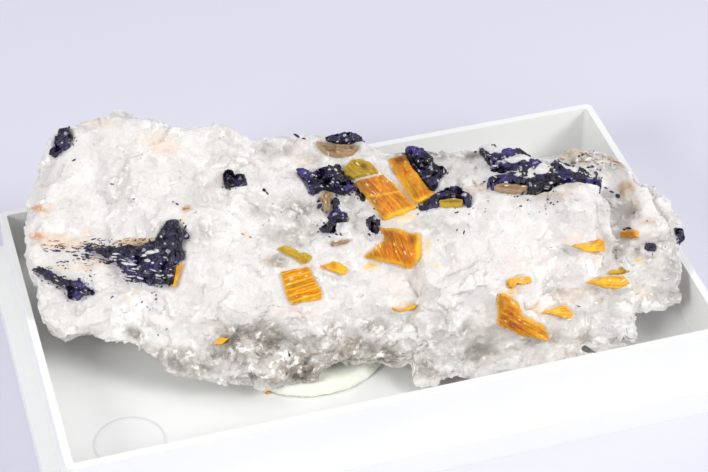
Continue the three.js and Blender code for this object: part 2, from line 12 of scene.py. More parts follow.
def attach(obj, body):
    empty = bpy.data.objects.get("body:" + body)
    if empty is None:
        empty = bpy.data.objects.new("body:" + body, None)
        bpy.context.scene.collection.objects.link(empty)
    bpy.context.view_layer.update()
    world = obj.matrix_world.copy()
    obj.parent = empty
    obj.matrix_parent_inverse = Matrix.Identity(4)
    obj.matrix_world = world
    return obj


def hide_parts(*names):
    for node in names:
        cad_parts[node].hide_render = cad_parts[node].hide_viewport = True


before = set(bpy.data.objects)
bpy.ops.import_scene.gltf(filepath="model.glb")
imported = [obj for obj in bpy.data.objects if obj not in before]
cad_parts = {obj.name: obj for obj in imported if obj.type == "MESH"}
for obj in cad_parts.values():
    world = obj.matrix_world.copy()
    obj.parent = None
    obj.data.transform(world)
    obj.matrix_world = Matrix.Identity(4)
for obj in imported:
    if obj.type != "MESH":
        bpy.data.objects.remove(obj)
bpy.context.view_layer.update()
scene = bpy.context.scene

# Lengths in this script are millimetres, and meshes and materials take metres.
MM = 0.001

# The view that the photograph was taken from, in the object's frame.
EYE = np.array((-76.7, -259.0, 256.1))
PITCH = math.radians(40.82)
YAW = math.radians(16.51)
FOCAL = 2145.8
WIDTH, HEIGHT = 708, 472

FORWARD = np.array((math.sin(YAW) * math.cos(PITCH), math.cos(YAW) * math.cos(PITCH), -math.sin(PITCH)))
RIGHT = np.array((math.cos(YAW), -math.sin(YAW), 0.0))
DOWN = np.cross(FORWARD, RIGHT)


def sight(u, v):
    """Direction of the sight line through a point of the photograph."""
    line = FORWARD * FOCAL + RIGHT * (u - WIDTH / 2) + DOWN * (v - HEIGHT / 2)
    return line / np.linalg.norm(line)


def turned(degrees):
    """A direction of the photograph, turned clockwise from its right."""
    return math.cos(math.radians(degrees)), math.sin(math.radians(degrees))


def towards_eye(normal):
    return -normal if normal @ FORWARD > 0 else normal


def seen(points):
    """Where points are in the photograph."""
    away = points - EYE
    depth = away @ FORWARD
    return WIDTH / 2 + FOCAL * (away @ RIGHT) / depth, HEIGHT / 2 + FOCAL * (away @ DOWN) / depth


def make_camera():
    data = bpy.data.cameras.new("camera")
    data.sensor_width = 36
    data.lens = FOCAL / WIDTH * 36
    data.clip_start = 0.01
    camera = bpy.data.objects.new("camera", data)
    camera.location = Vector(EYE) * MM
    camera.rotation_euler = (math.pi / 2 - PITCH, 0, -YAW)
    scene.collection.objects.link(camera)
    scene.camera = camera


make_camera()


# Numbers and noise

def lattice(cell, seed):
    """One repeatable random number from 0 to 1 for each whole-numbered cell."""
    key = cell[:, 0] * 73856093 ^ cell[:, 1] * 19349663 ^ cell[:, 2] * 83492791 ^ seed * 2654435761
    key = (key ^ (key >> 13)) * 1274126177 & 0xFFFFFFFF
    key = (key ^ (key >> 15)) * 2246822519 & 0xFFFFFFFF
    return ((key ^ (key >> 16)) & 0xFFFF) / 65535.0


def soft_noise(points, pitch, seed):
    """Smooth noise from -1 to 1 with features about one pitch apart."""
    place = points / pitch + 500.0
    cell = np.floor(place).astype(np.int64)
    part = place - cell
    part = part * part * (3 - 2 * part)
    total = np.zeros(len(points))
    for corner in itertools.product((0, 1), repeat=3):
        near = np.where(np.array(corner) == 1, part, 1 - part).prod(axis=1)
        total += near * (lattice(cell + np.array(corner), seed) * 2 - 1)
    return total


def point_tree(points):
    """A search tree of points, for the nearest one or all within a reach."""
    tree = KDTree(len(points))
    for i, point in enumerate(points):
        tree.insert(point, i)
    tree.balance()
    return tree


def broken(points, pitch, slope, drop, seed):
    """Height of a broken surface, where each cell is a flat facet with its own tilt and level."""
    random = np.random.default_rng(seed)
    low = points.min(axis=0)
    cells = np.unique(np.floor((points - low) / pitch).astype(np.int64), axis=0)
    centres = low + (cells + random.uniform(0.05, 0.95, cells.shape)) * pitch
    tree = point_tree(centres)
    mine = np.array([tree.find(point)[1] for point in points])
    tilt = random.normal(0, slope, (len(centres), 3))
    level = random.uniform(-drop, drop, len(centres))
    away = points - centres[mine]
    return np.clip((away * tilt[mine]).sum(axis=1), -pitch * slope, pitch * slope) + level[mine]


def chipped(points, normals, count, reach, depth, tilt, most, seed):
    """Cut the proud ground back to tilted planes, and give every cut a random tone.

    depth and most are arrays: how deep a cut may start at a place, and how far a place may go in.
    """
    random = np.random.default_rng(seed)
    tree = point_tree(points)
    points = points.copy()
    left = np.array(most, dtype=float)
    tone = np.full(len(points), 0.5)
    for at in random.integers(0, len(points), count):
        around = tree.find_range(points[at], reach * random.uniform(0.6, 1.2))
        near = np.fromiter((found[1] for found in around), dtype=np.int64, count=len(around))
        facing = normals[at] + random.normal(0, tilt, 3)
        facing /= np.linalg.norm(facing)
        level = facing @ points[at] - depth[at] * random.random()
        proud = points[near] @ facing - level
        near, proud = near[proud > 0], proud[proud > 0]
        cut = np.minimum(proud, left[near])
        points[near] -= facing * cut[:, None]
        left[near] -= cut
        tone[near] = random.random()
    return points, tone


def ramp(value, low, high):
    """0 below low, 1 above high, smooth between."""
    part = np.clip((value - low) / (high - low), 0, 1)
    return part * part * (3 - 2 * part)


# Meshes

def corners_of(mesh):
    co = np.empty(len(mesh.vertices) * 3)
    mesh.vertices.foreach_get("co", co)
    return co.reshape(-1, 3) / MM


def normals_of(mesh):
    out = np.empty(len(mesh.vertices) * 3)
    mesh.vertices.foreach_get("normal", out)
    return out.reshape(-1, 3)


def place_corners(piece, points):
    piece.data.vertices.foreach_set("co", (points * MM).ravel())
    piece.data.update()


def node_mesh(name):
    """A copy of a CAD node's mesh with its doubled corners joined."""
    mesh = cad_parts[name].data.copy()
    bm = bmesh.new()
    bm.from_mesh(mesh)
    bmesh.ops.remove_doubles(bm, verts=bm.verts, dist=1e-6)
    bm.to_mesh(mesh)
    bm.free()
    mesh.materials.clear()
    return mesh


def lists_of(mesh):
    return corners_of(mesh), [tuple(face.vertices) for face in mesh.polygons]


def joined(parts):
    """Several lists of corners and faces as one."""
    faces, count = [], 0
    for points, own in parts:
        faces += [tuple(i + count for i in face) for face in own]
        count += len(points)
    return np.vstack([points for points, _ in parts]), faces


def new_object(name, points, faces):
    mesh = bpy.data.meshes.new(name)
    mesh.from_pydata((np.asarray(points) * MM).tolist(), [], faces)
    mesh.update()
    piece = bpy.data.objects.new(name, mesh)
    scene.collection.objects.link(piece)
    return piece


def skinned(name, points, faces, voxel):
    """A new object with one even skin over closed meshes that may cross, its corners and normals."""
    piece = new_object(name, points, faces)
    skin = piece.modifiers.new("skin", "REMESH")
    skin.mode = "VOXEL"
    skin.voxel_size = voxel * MM
    mesh = bpy.data.meshes.new_from_object(piece.evaluated_get(bpy.context.evaluated_depsgraph_get()))
    piece.modifiers.clear()
    piece.data = mesh
    mesh.name = name
    return piece, corners_of(mesh), normals_of(mesh)


def without_bubbles(piece):
    """Keep only a skin's largest closed part, not the bubbles left where solids nearly meet."""
    bm = bmesh.new()
    bm.from_mesh(piece.data)
    left = set(bm.verts)
    islands = []
    while left:
        queue = [left.pop()]
        island = list(queue)
        while queue:
            for edge in queue.pop().link_edges:
                for vert in edge.verts:
                    if vert in left:
                        left.remove(vert)
                        queue.append(vert)
                        island.append(vert)
        islands.append(island)
    islands.sort(key=len)
    for island in islands[:-1]:
        bmesh.ops.delete(bm, geom=island, context="VERTS")
    bm.to_mesh(piece.data)
    bm.free()


def shade(piece, smooth):
    piece.data.polygons.foreach_set("use_smooth", [smooth] * len(piece.data.polygons))


def store(piece, names, values):
    """Numbers on the corners that the material reads by name. One number serves every corner."""
    values = np.full(len(piece.data.vertices), values, dtype=np.float32)
    for name in names.split():
        piece.data.attributes.new(name, "FLOAT", "POINT").data.foreach_set("value", values)


def tree_of(piece):
    mesh = piece.data
    return BVHTree.FromPolygons([v.co for v in mesh.vertices], [tuple(p.vertices) for p in mesh.polygons])


def finish_piece(piece, slot, *nodes):
    piece.data.materials.clear()
    piece.data.materials.append(materials[slot])
    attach(piece, "root")
    if nodes:
        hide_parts(*nodes)


# Crystals: their frames in the CAD

# Faces count as one flat when the cosine between them is above this.
ALIKE = 0.995


def crystal_frame(mesh):
    """Middle, outward normal of the flat face, and the corners of a crystal's CAD solid."""
    points = corners_of(mesh)
    areas = np.array([face.area for face in mesh.polygons])
    normals = np.array([face.normal for face in mesh.polygons])
    alike = np.abs(normals @ normals.T) > ALIKE
    best = int(np.argmax((alike @ areas) * np.abs(normals @ FORWARD) ** 3))
    return points.mean(axis=0), towards_eye(normals[best]), points


def in_plane(normal, middle, towards):
    """The direction in a crystal's face that runs along a direction of the photograph."""
    def on_face(u, v):
        line = sight(u, v)
        return EYE + line * (((middle - EYE) @ normal) / (line @ normal))

    u, v = seen(middle)
    along = on_face(u + towards[0], v + towards[1]) - on_face(u, v)
    along -= normal * (along @ normal)
    return along / np.linalg.norm(along)


YODERITE = [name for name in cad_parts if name.startswith("yoderite_")]

# How each kyanite crystal is cleaved: the direction of its fibres in the
# photograph, then the depth of its fibres and of its cross steps.
KYANITE = {
    "kyanite_long_blade_upper": ("olive", (10, 9), 0.05, 0.06),
    "kyanite_long_blade_lower": ("orange", (10, 10), 0.07, 0.12),
    "kyanite_second_blade": ("orange", (8, 13), 0.09, 0.12),
    "kyanite_broad_plate": ("orange", (5, 14), 0.05, 0.05),
    "kyanite_striated_block": ("orange", (14, -4), 0.3, 0.05),
    "kyanite_olive_blade": ("olive", (14, 7), 0.06, 0.06),
    "kyanite_short_wedge": ("orange", (13, 5), 0.05, 0.05),
    "kyanite_sliver_upper": ("tan", (14, -3), 0.04, 0.02),
    "kyanite_sliver_middle": ("orange", (14, -3), 0.05, 0.03),
    "kyanite_sliver_lower_left": ("orange", (14, -4), 0.05, 0.03),
    "kyanite_brown_bar": ("tan", (1, 12), 0.1, 0.08),
    "kyanite_tan_plates_at_the_top": ("tan", (14, 2), 0.22, 0.08),
    "kyanite_olive_lens": ("olive", (14, 0), 0.06, 0.04),
    "kyanite_dart": ("orange", (14, -2), 0.05, 0.04),
    "kyanite_ledge_blade": ("orange", (14, 0), 0.12, 0.05),
    "kyanite_ledge_sliver": ("olive", (14, 1), 0.08, 0.04),
    "kyanite_shaded_bar": ("orange", (14, -1), 0.1, 0.05),
    "kyanite_corner_blade": ("orange", (14, 8), 0.22, 0.06),
    "kyanite_fishtail": ("orange", (14, 0), 0.12, 0.04),
    "kyanite_hook": ("orange", (14, -1), 0.08, 0.05),
    "kyanite_strip_by_the_boot": ("orange", (-3, 14), 0.05, 0.04),
    "tan_lens_in_the_ragged_band": ("tan", (14, 0), 0.06, 0.05),
}
CRYSTALS = [*KYANITE, *YODERITE]

# Lenses that only just show through the yoderite round them, in millimetres.
SET_DEEPER = {"kyanite_olive_lens": 0.55, "tan_lens_in_the_ragged_band": 0.5}

# Darker brown places and brighter places on the kyanite; the brighter places are partly lighter yellow
# kyanite and partly painted highlights on edges and ridges. Middle and half sizes in the photograph, turn in
# degrees, strength.
KYANITE_BROWN = (
    (451, 200, 14, 5, 0, 0.7), (358, 187, 9, 9, 30, 1.0), (364, 166, 3, 2.6, 0, 1.3),
    (347, 172, 5, 4, 0, 0.5), (373, 200, 5, 10, -35, 0.5), (401, 158, 11, 7, 0, 0.8),
    (412, 190, 6, 8, 0, 0.4), (388, 236, 10, 8, 20, 0.6), (412, 240, 6, 6, 0, 0.5),
    (372, 256, 10, 4, 10, 0.5), (300, 284, 14, 3, -4, 0.3), (500, 300, 3, 14, 0, 0.6),
    (512, 326, 12, 3, 15, 0.5), (184, 265, 3, 8, 0, 0.4), (336, 268, 6, 3, 0, 0.3),
)
KYANITE_BRIGHT = (
    (531, 318, 24, 9, 38, 0.4), (300, 284, 20, 18, 0, 0.35), (409, 307, 14, 6, 0, 0.6),
    (222, 341, 10, 5, 0, 0.7), (519, 281, 12, 6, 0, 0.5), (400, 212.5, 20, 2.4, -20, 1.2),
    (384, 194, 20, 1.2, -10, 0.8), (425, 198, 10, 2.4, -20, 1.0), (418, 250, 2.6, 16, 0, 0.9),
    (390, 261, 20, 1.8, 12, 0.5), (296, 275, 12, 3, -6, 0.6), (308, 298, 12, 3, -6, 0.7),
    (340, 270, 14, 7, 15, 0.8), (590, 248, 16, 7, 0, 0.9), (612, 282, 20, 5, 4, 0.9),
    (540, 336, 10, 3, 30, 0.6), (520, 312, 14, 1.6, 38, 0.5), (560, 311, 16, 6, 10, 0.8),
)


def spots(points, places):
    """Strength of the places of a list on each point."""
    u, v = seen(points)
    total = np.zeros(len(points))
    for u0, v0, across, down, turn, strength in places:
        x, y = turned(turn)
        a = (u - u0) * x + (v - v0) * y
        b = (v - v0) * x - (u - u0) * y
        total = np.maximum(total, strength * np.exp(-(a / across) ** 2 - (b / down) ** 2))
    return total


crystal_meshes = {name: node_mesh(name) for name in CRYSTALS}
crystal_frames = {name: crystal_frame(mesh) for name, mesh in crystal_meshes.items()}


# The quartz

# How fine the skins are.
QUARTZ_VOXEL = 0.42
MASS_VOXEL = 0.24
BLADE_VOXEL = 0.17
SMALL_BLADE_VOXEL = 0.13
SMALL_BLADE = 8
PUTTY_VOXEL = 0.45

# How far the quartz closes round each kind of crystal, and how deep it lies there.
MASS_POCKET = (0.6, 1.0)
LENS_POCKET = (1.1, 2.0)
BLADE_POCKET = (1.1, 1.4)

# Edges of the quartz that are sharper than this, in degrees, are drawn sharp.
SHARP_EDGE = 24

# Three sizes of break: how many, their reach and depth, how much they tilt, how
# far in they may go, and a seed.
QUARTZ_CHIPS = (
    (1100, 4.6, 0.34, 0.16, 1.3, 11),
    (3200, 2.1, 0.12, 0.22, 0.5, 12),
    (9000, 0.95, 0.08, 0.36, 0.35, 13),
)
# Breaks with a shorter reach than this are only where the rock is crisp.
FINE_REACH = 1.5


def pocket_filling(name, spread, sunk):
    """The crystal's solid, fatter and set deeper, so that the quartz closes round the crystal."""
    mesh = crystal_meshes[name]
    _, normal, points = crystal_frames[name]
    faces = [tuple(face.vertices) for face in mesh.polygons]
    out = normals_of(mesh)
    if name in YODERITE:
        # Only a mass's walls spread. Its top follows the rock, which may be steep.
        out = np.zeros_like(points)
        for face in mesh.polygons:
            if abs(np.array(face.normal) @ normal) < 0.1:
                out[list(face.vertices)] += np.array(face.normal)
        out /= np.maximum(np.linalg.norm(out, axis=1), 1e-6)[:, None]
    return points + out * spread - normal * sunk, faces


def quartz_piece():
    parts = [lists_of(node_mesh("quartz_matrix"))]
    for name in CRYSTALS:
        pocket = MASS_POCKET if name in YODERITE else LENS_POCKET if name in SET_DEEPER else BLADE_POCKET
        parts.append(pocket_filling(name, *pocket))
    piece, points, normals = skinned("quartz_rock", *joined(parts), QUARTZ_VOXEL)

    all_points, all_faces = joined([lists_of(crystal_meshes[name]) for name in CRYSTALS])
    crystals = BVHTree.FromPolygons(all_points.tolist(), all_faces)
    nearest = np.array([crystals.find_nearest(point)[3] for point in points])
    calm = ramp(nearest, 0.2, 1.6)

    # The left slab and the front block break smoothly, the lower front is glassy
    # and sharply broken, and the ridge above the blades lies between.
    x, y, z = points.T
    crisp = 0.3 + 0.2 * soft_noise(points, 8, 16)
    crisp -= 0.12 * ramp(-x, 12, 24) * ramp(normals[:, 2], 0.2, 0.6)
    low_left = ramp(20.5 - z, 0, 6) * ramp(-normals[:, 1], -0.1, 0.4)
    low_left *= ramp(9 - x, 0, 4) * ramp(x, -36, -24)
    low_right = ramp(17 - z, 0, 6) * ramp(x, 6, 10)
    ridge = np.exp(-((x + 2) / 7) ** 2 - ((y - 6) / 12) ** 2)
    crisp = np.clip(crisp + 0.75 * low_left + 0.35 * low_right + 0.25 * ridge, 0, 1)
    rough = (0.4 + crisp) * (0.2 + 0.8 * calm)
    # The underside, which the putty and the tray hide, stays as the solid has it.
    rough *= 1 - ramp(9.0 - z, 0, 1.5)
    swell = 0.3 * rough * soft_noise(points, 2.4, 15) + 0.16 * calm
    points = points + normals * (swell - 0.2 * (1 - calm))[:, None]
    tones = []
    for count, reach, depth, tilt, most, seed in QUARTZ_CHIPS:
        share = rough if reach > FINE_REACH else rough * crisp
        points, tone = chipped(points, normals, count, reach, depth * share, tilt, most * share, seed)
        tones.append(tone)
    place_corners(piece, points)
    shade(piece, True)
    piece.data.set_sharp_from_angle(angle=math.radians(SHARP_EDGE))
    store(piece, "facet", 0.6 * tones[1] + 0.4 * tones[2])
    store(piece, "plate", tones[0])
    store(piece, "crisp", crisp)
    without_bubbles(piece)
    return piece


quartz = quartz_piece()
rock_tree = tree_of(quartz)


def on_rock(u, v):
    """Where a sight line meets the quartz, in millimetres, with the normal there."""
    hit, normal, _, _ = rock_tree.ray_cast(Vector(EYE) * MM, Vector(sight(u, v)))
    if hit is None:
        return None, None
    return np.array(hit) / MM, np.array(normal)


def on_ground(u, v):
    """Where a sight line meets the quartz or a yoderite mass."""
    hit, normal, _, _ = ground.ray_cast(Vector(EYE), Vector(sight(u, v)))
    if hit is None:
        return None, None
    return np.array(hit), np.array(normal)


# Stains and tones on the quartz by kind: middle and half sizes in the
# photograph, turn in degrees, strength.
PATCHES = {
    "warm": (
        (160, 143, 24, 12, 10, 0.6), (100, 124, 22, 6, -8, 0.55), (40, 208, 16, 5, -5, 1.0),
        (60, 238, 30, 6, 4, 0.9), (88, 231, 8, 3, 10, 0.8), (60, 246, 24, 4, 4, 0.9),
        (150, 238, 20, 3, -8, 0.8), (95, 262, 24, 3, 4, 0.8), (75, 268, 26, 3, 5, 0.7),
        (182, 216, 4, 8, 5, 0.5), (248, 236, 8, 4, 30, 0.9), (250, 163, 4, 3, 20, 0.9),
        (222, 178, 4, 3, 0, 0.6), (128, 297, 8, 3, 0, 0.6), (138, 289, 6, 2.5, 20, 0.6),
        (575, 240, 14, 4, 15, 0.8), (600, 262, 8, 16, -20, 0.5), (540, 310, 14, 8, 0, 0.9),
        (515, 288, 12, 8, 0, 0.6), (575, 295, 24, 8, -10, 0.4), (640, 293, 14, 8, 10, 0.5),
        (300, 160, 16, 6, 10, 0.4), (400, 306, 12, 3, -5, 0.7), (475, 190, 12, 5, 0, 0.9),
        (555, 194, 22, 3.5, -4, 0.6), (570, 186, 16, 3, 0, 0.6),
    ),
    "tan": (
        (90, 118, 16, 3, -8, 0.25), (135, 243, 24, 3.5, -6, 1.0), (186, 209, 6, 4, -10, 1.0),
        (596, 150, 24, 3, 5, 0.9), (614, 160, 22, 2.5, 10, 1.0), (575, 152, 16, 3, -8, 0.8),
        (556, 168, 7, 5, 40, 0.8), (626, 190, 9, 10, 0, 0.8), (650, 222, 14, 3, -5, 0.5),
        (635, 205, 9, 6, 10, 0.4), (272, 262, 12, 4, 20, 0.4),
    ),
    "smoky": (
        (98, 120, 20, 5, -8, 0.25), (278, 262, 16, 8, 15, 0.5), (312, 362, 96, 26, -3, 0.75),
        (175, 362, 50, 14, 15, 0.6), (135, 334, 12, 8, 10, 0.8), (178, 354, 28, 8, 6, 0.9),
        (190, 368, 30, 8, 5, 0.8), (232, 342, 24, 16, -15, 0.9), (266, 338, 20, 18, -20, 1.0),
        (230, 356, 22, 5, -5, 0.8), (268, 380, 26, 5, 10, 1.0), (300, 370, 30, 15, 0, 1.1),
        (325, 374, 24, 12, -10, 1.1), (352, 350, 14, 22, 0, 1.1), (366, 370, 20, 12, 0, 1.1),
        (386, 356, 20, 14, 0, 1.0), (376, 327, 16, 8, -10, 0.8), (335, 330, 12, 10, 0, 0.6),
        (290, 345, 20, 12, 0, 0.5), (408, 368, 18, 10, 0, 0.65), (425, 372, 14, 12, 0, 0.6),
        (478, 352, 20, 10, -8, 0.7), (470, 335, 30, 12, 0, 0.4), (450, 315, 12, 12, 0, 0.4),
        (545, 340, 20, 7, -8, 0.45), (580, 340, 16, 7, -8, 0.4), (535, 330, 10, 6, 0, 0.5),
        (560, 297, 20, 8, 0, 0.35), (590, 292, 14, 6, -20, 0.35), (635, 212, 14, 10, 0, 0.45),
        (640, 246, 16, 12, 0, 0.5), (620, 262, 10, 8, 0, 0.45), (655, 240, 12, 10, 0, 0.35),
        (660, 300, 16, 14, 0, 0.1), (300, 210, 24, 16, 0, 0.55), (265, 205, 20, 16, 0, 0.35),
        (290, 236, 26, 14, 0, 0.5), (310, 160, 14, 8, 0, 0.55), (275, 150, 22, 10, 0, 0.5),
        (230, 160, 16, 9, 0, 0.4), (350, 196, 10, 12, 0, 0.4), (385, 150, 22, 8, 0, 0.6),
        (400, 153, 14, 6, 0, 0.9), (435, 157, 26, 6, 0, 1.0), (470, 157, 18, 5, 0, 0.8),
        (400, 175, 6, 14, -30, 0.5), (550, 195, 30, 8, 0, 0.35), (570, 158, 26, 7, 0, 0.6),
        (590, 170, 20, 5, 10, 0.5), (200, 230, 18, 14, 0, 0.3), (215, 195, 26, 14, 0, 0.25),
        (110, 150, 26, 14, 0, 0.15), (80, 330, 30, 5, 5, 0.2), (430, 225, 30, 12, 0, 0.25),
        (455, 175, 14, 14, 0, 0.2),
    ),
    "iron": (
        (36, 209, 9, 3, -8, 0.9), (36, 236, 13, 3, 2, 0.9), (84, 247, 16, 3, 4, 0.7),
        (601, 300, 3, 2.6, 0, 1.0),
    ),
    "pink": (
        (165, 320, 30, 8, 5, 0.4), (300, 312, 30, 8, 5, 0.7), (400, 285, 22, 14, 0, 0.5),
        (380, 240, 10, 10, 0, 0.5), (452, 270, 18, 12, 0, 0.4), (530, 260, 40, 20, 0, 0.45),
        (515, 262, 8, 14, 10, 0.7),
    ),
    "yellow": (
        (372, 264, 8, 4, 0, 0.9), (404, 216, 12, 4, 5, 0.7), (427, 245, 3, 12, 0, 0.7),
        (438, 266, 1.2, 4, 0, 0.8), (640, 260, 8, 3, 0, 0.8), (510, 291, 8, 3, 0, 0.6),
    ),
}

# Pixels of the photograph to a millimetre of the rock.
PIXELS_IN_ONE = 6.0


def paint_quartz():
    """Tones by place: the patches, a smoky belt and stains on the far side, and noise that breaks them up."""
    points = corners_of(quartz.data)
    x, y, z = points.T
    tones = {kind: np.zeros(len(points)) for kind in PATCHES}
    warp = np.stack([soft_noise(points, 2.2, seed) for seed in (21, 22, 23)], axis=1) * 0.55
    fine = np.stack([soft_noise(points, 0.7, seed) for seed in (24, 25, 26)], axis=1) * 0.22
    rows = [(kind, *row) for kind, kind_rows in PATCHES.items() for row in kind_rows]
    for kind, u, v, across, down, turn, strength in rows:
        middle, normal = on_rock(u, v)
        if middle is None:
            continue
        facing = towards_eye(normal) * 0.5 - FORWARD * 0.5
        facing /= np.linalg.norm(facing)
        along = in_plane(facing, middle, turned(turn))
        beside = np.cross(facing, along)
        slant = max(0.35, abs(facing @ FORWARD))
        away = points + warp + fine - middle
        reach = (away @ along / (across / PIXELS_IN_ONE)) ** 2
        reach += (away @ beside / (down / PIXELS_IN_ONE / slant)) ** 2
        reach += (away @ facing / (1.5 + 0.5 * across / PIXELS_IN_ONE)) ** 2
        tones[kind] = np.maximum(tones[kind], strength * (1 - ramp(np.sqrt(reach), 0.35, 1.35)))
    far_side = ramp(y - 0.25 * x, 16, 24)
    belt = ramp(17 - z, 0, 8) * far_side
    belt *= ramp(soft_noise(points, 9, 31), -0.4, 0.5)
    tones["smoky"] = np.maximum(tones["smoky"], 0.7 * belt)
    stain = far_side * ramp(soft_noise(points, 12, 32) + 0.5 * soft_noise(points, 4, 33), 0.35, 0.8)
    tones["warm"] = np.maximum(tones["warm"], 0.6 * stain)
    blotch = ramp(soft_noise(points, 2.6, 34) + 0.6 * soft_noise(points, 1.1, 35), -0.7, 0.6)
    tones["smoky"] *= 0.7 + 0.3 * blotch
    for kind, values in tones.items():
        store(quartz, kind, values)


paint_quartz()


# Materials

def feed(tree, made, inputs):
    """Link or set the inputs of a node."""
    for name, value in dict(inputs).items():
        if isinstance(value, bpy.types.NodeSocket):
            tree.links.new(value, made.inputs[name])
        else:
            made.inputs[name].default_value = value


def node(tree, kind, inputs=(), **settings):
    made = tree.nodes.new("ShaderNode" + kind)
    for name, value in settings.items():
        setattr(made, name, value)
    feed(tree, made, inputs)
    return made


def new_material(name):
    material = bpy.data.materials.new(name)
    material.use_nodes = True
    tree = material.node_tree
    return material, tree, tree.nodes["Principled BSDF"]


def place_of(tree):
    return node(tree, "TexCoord").outputs["Object"]


def noise_of(tree, place, millimetres, detail=4.0, rough=0.55):
    inputs = {"Vector": place, "Scale": 1000 / millimetres, "Detail": detail, "Roughness": rough}
    return node(tree, "TexNoise", inputs).outputs["Fac"]


def cells_of(tree, place, millimetres, output="Color", feature="F1"):
    made = node(tree, "TexVoronoi", {"Vector": place, "Scale": 1000 / millimetres}, feature=feature)
    return made.outputs[output]


def levels(tree, value, low, high, to_low=0.0, to_high=1.0):
    inputs = {"Value": value, "From Min": low, "From Max": high, "To Min": to_low, "To Max": to_high}
    return node(tree, "MapRange", inputs).outputs["Result"]


def times(tree, a, b):
    return node(tree, "Math", {0: a, 1: b}, operation="MULTIPLY").outputs[0]


def plus(tree, a, b):
    return node(tree, "Math", {0: a, 1: b}, operation="ADD").outputs[0]


def mixed(tree, share, a, b):
    """One colour over another by a share from 0 to 1."""
    a, b = [(*colour, 1.0) if isinstance(colour, tuple) else colour for colour in (a, b)]
    return node(tree, "Mix", {0: share, 6: a, 7: b}, data_type="RGBA").outputs[2]


def number(tree, name):
    return node(tree, "Attribute", attribute_name=name).outputs["Fac"]


def bumped(tree, height, strength, millimetres, before=None):
    inputs = {"Height": height, "Strength": strength, "Distance": millimetres * MM}
    if before is not None:
        inputs["Normal"] = before
    return node(tree, "Bump", inputs).outputs["Normal"]


def facet_normals(tree, place, millimetres, tilt, before=None):
    """The surface normal, tilted at random in each grain, so that the grains glint one by one."""
    grain = cells_of(tree, place, millimetres)
    centred = node(tree, "VectorMath", {0: grain, 1: (0.5, 0.5, 0.5)}, operation="SUBTRACT").outputs[0]
    scaled = node(tree, "VectorMath", {0: centred, "Scale": tilt}, operation="SCALE").outputs[0]
    base = before if before is not None else node(tree, "NewGeometry").outputs["Normal"]
    added = node(tree, "VectorMath", {0: base, 1: scaled}, operation="ADD").outputs[0]
    return node(tree, "VectorMath", {0: added}, operation="NORMALIZE").outputs[0]


def warped(tree, place):
    """Places pushed about a little, so that cell borders aren't straight."""
    push = node(tree, "TexNoise", {"Vector": place, "Scale": 700.0, "Detail": 3.0}).outputs["Color"]
    scaled = node(tree, "VectorMath", {0: push, "Scale": 0.0016}, operation="SCALE").outputs[0]
    return node(tree, "VectorMath", {0: place, 1: scaled}, operation="ADD").outputs[0]


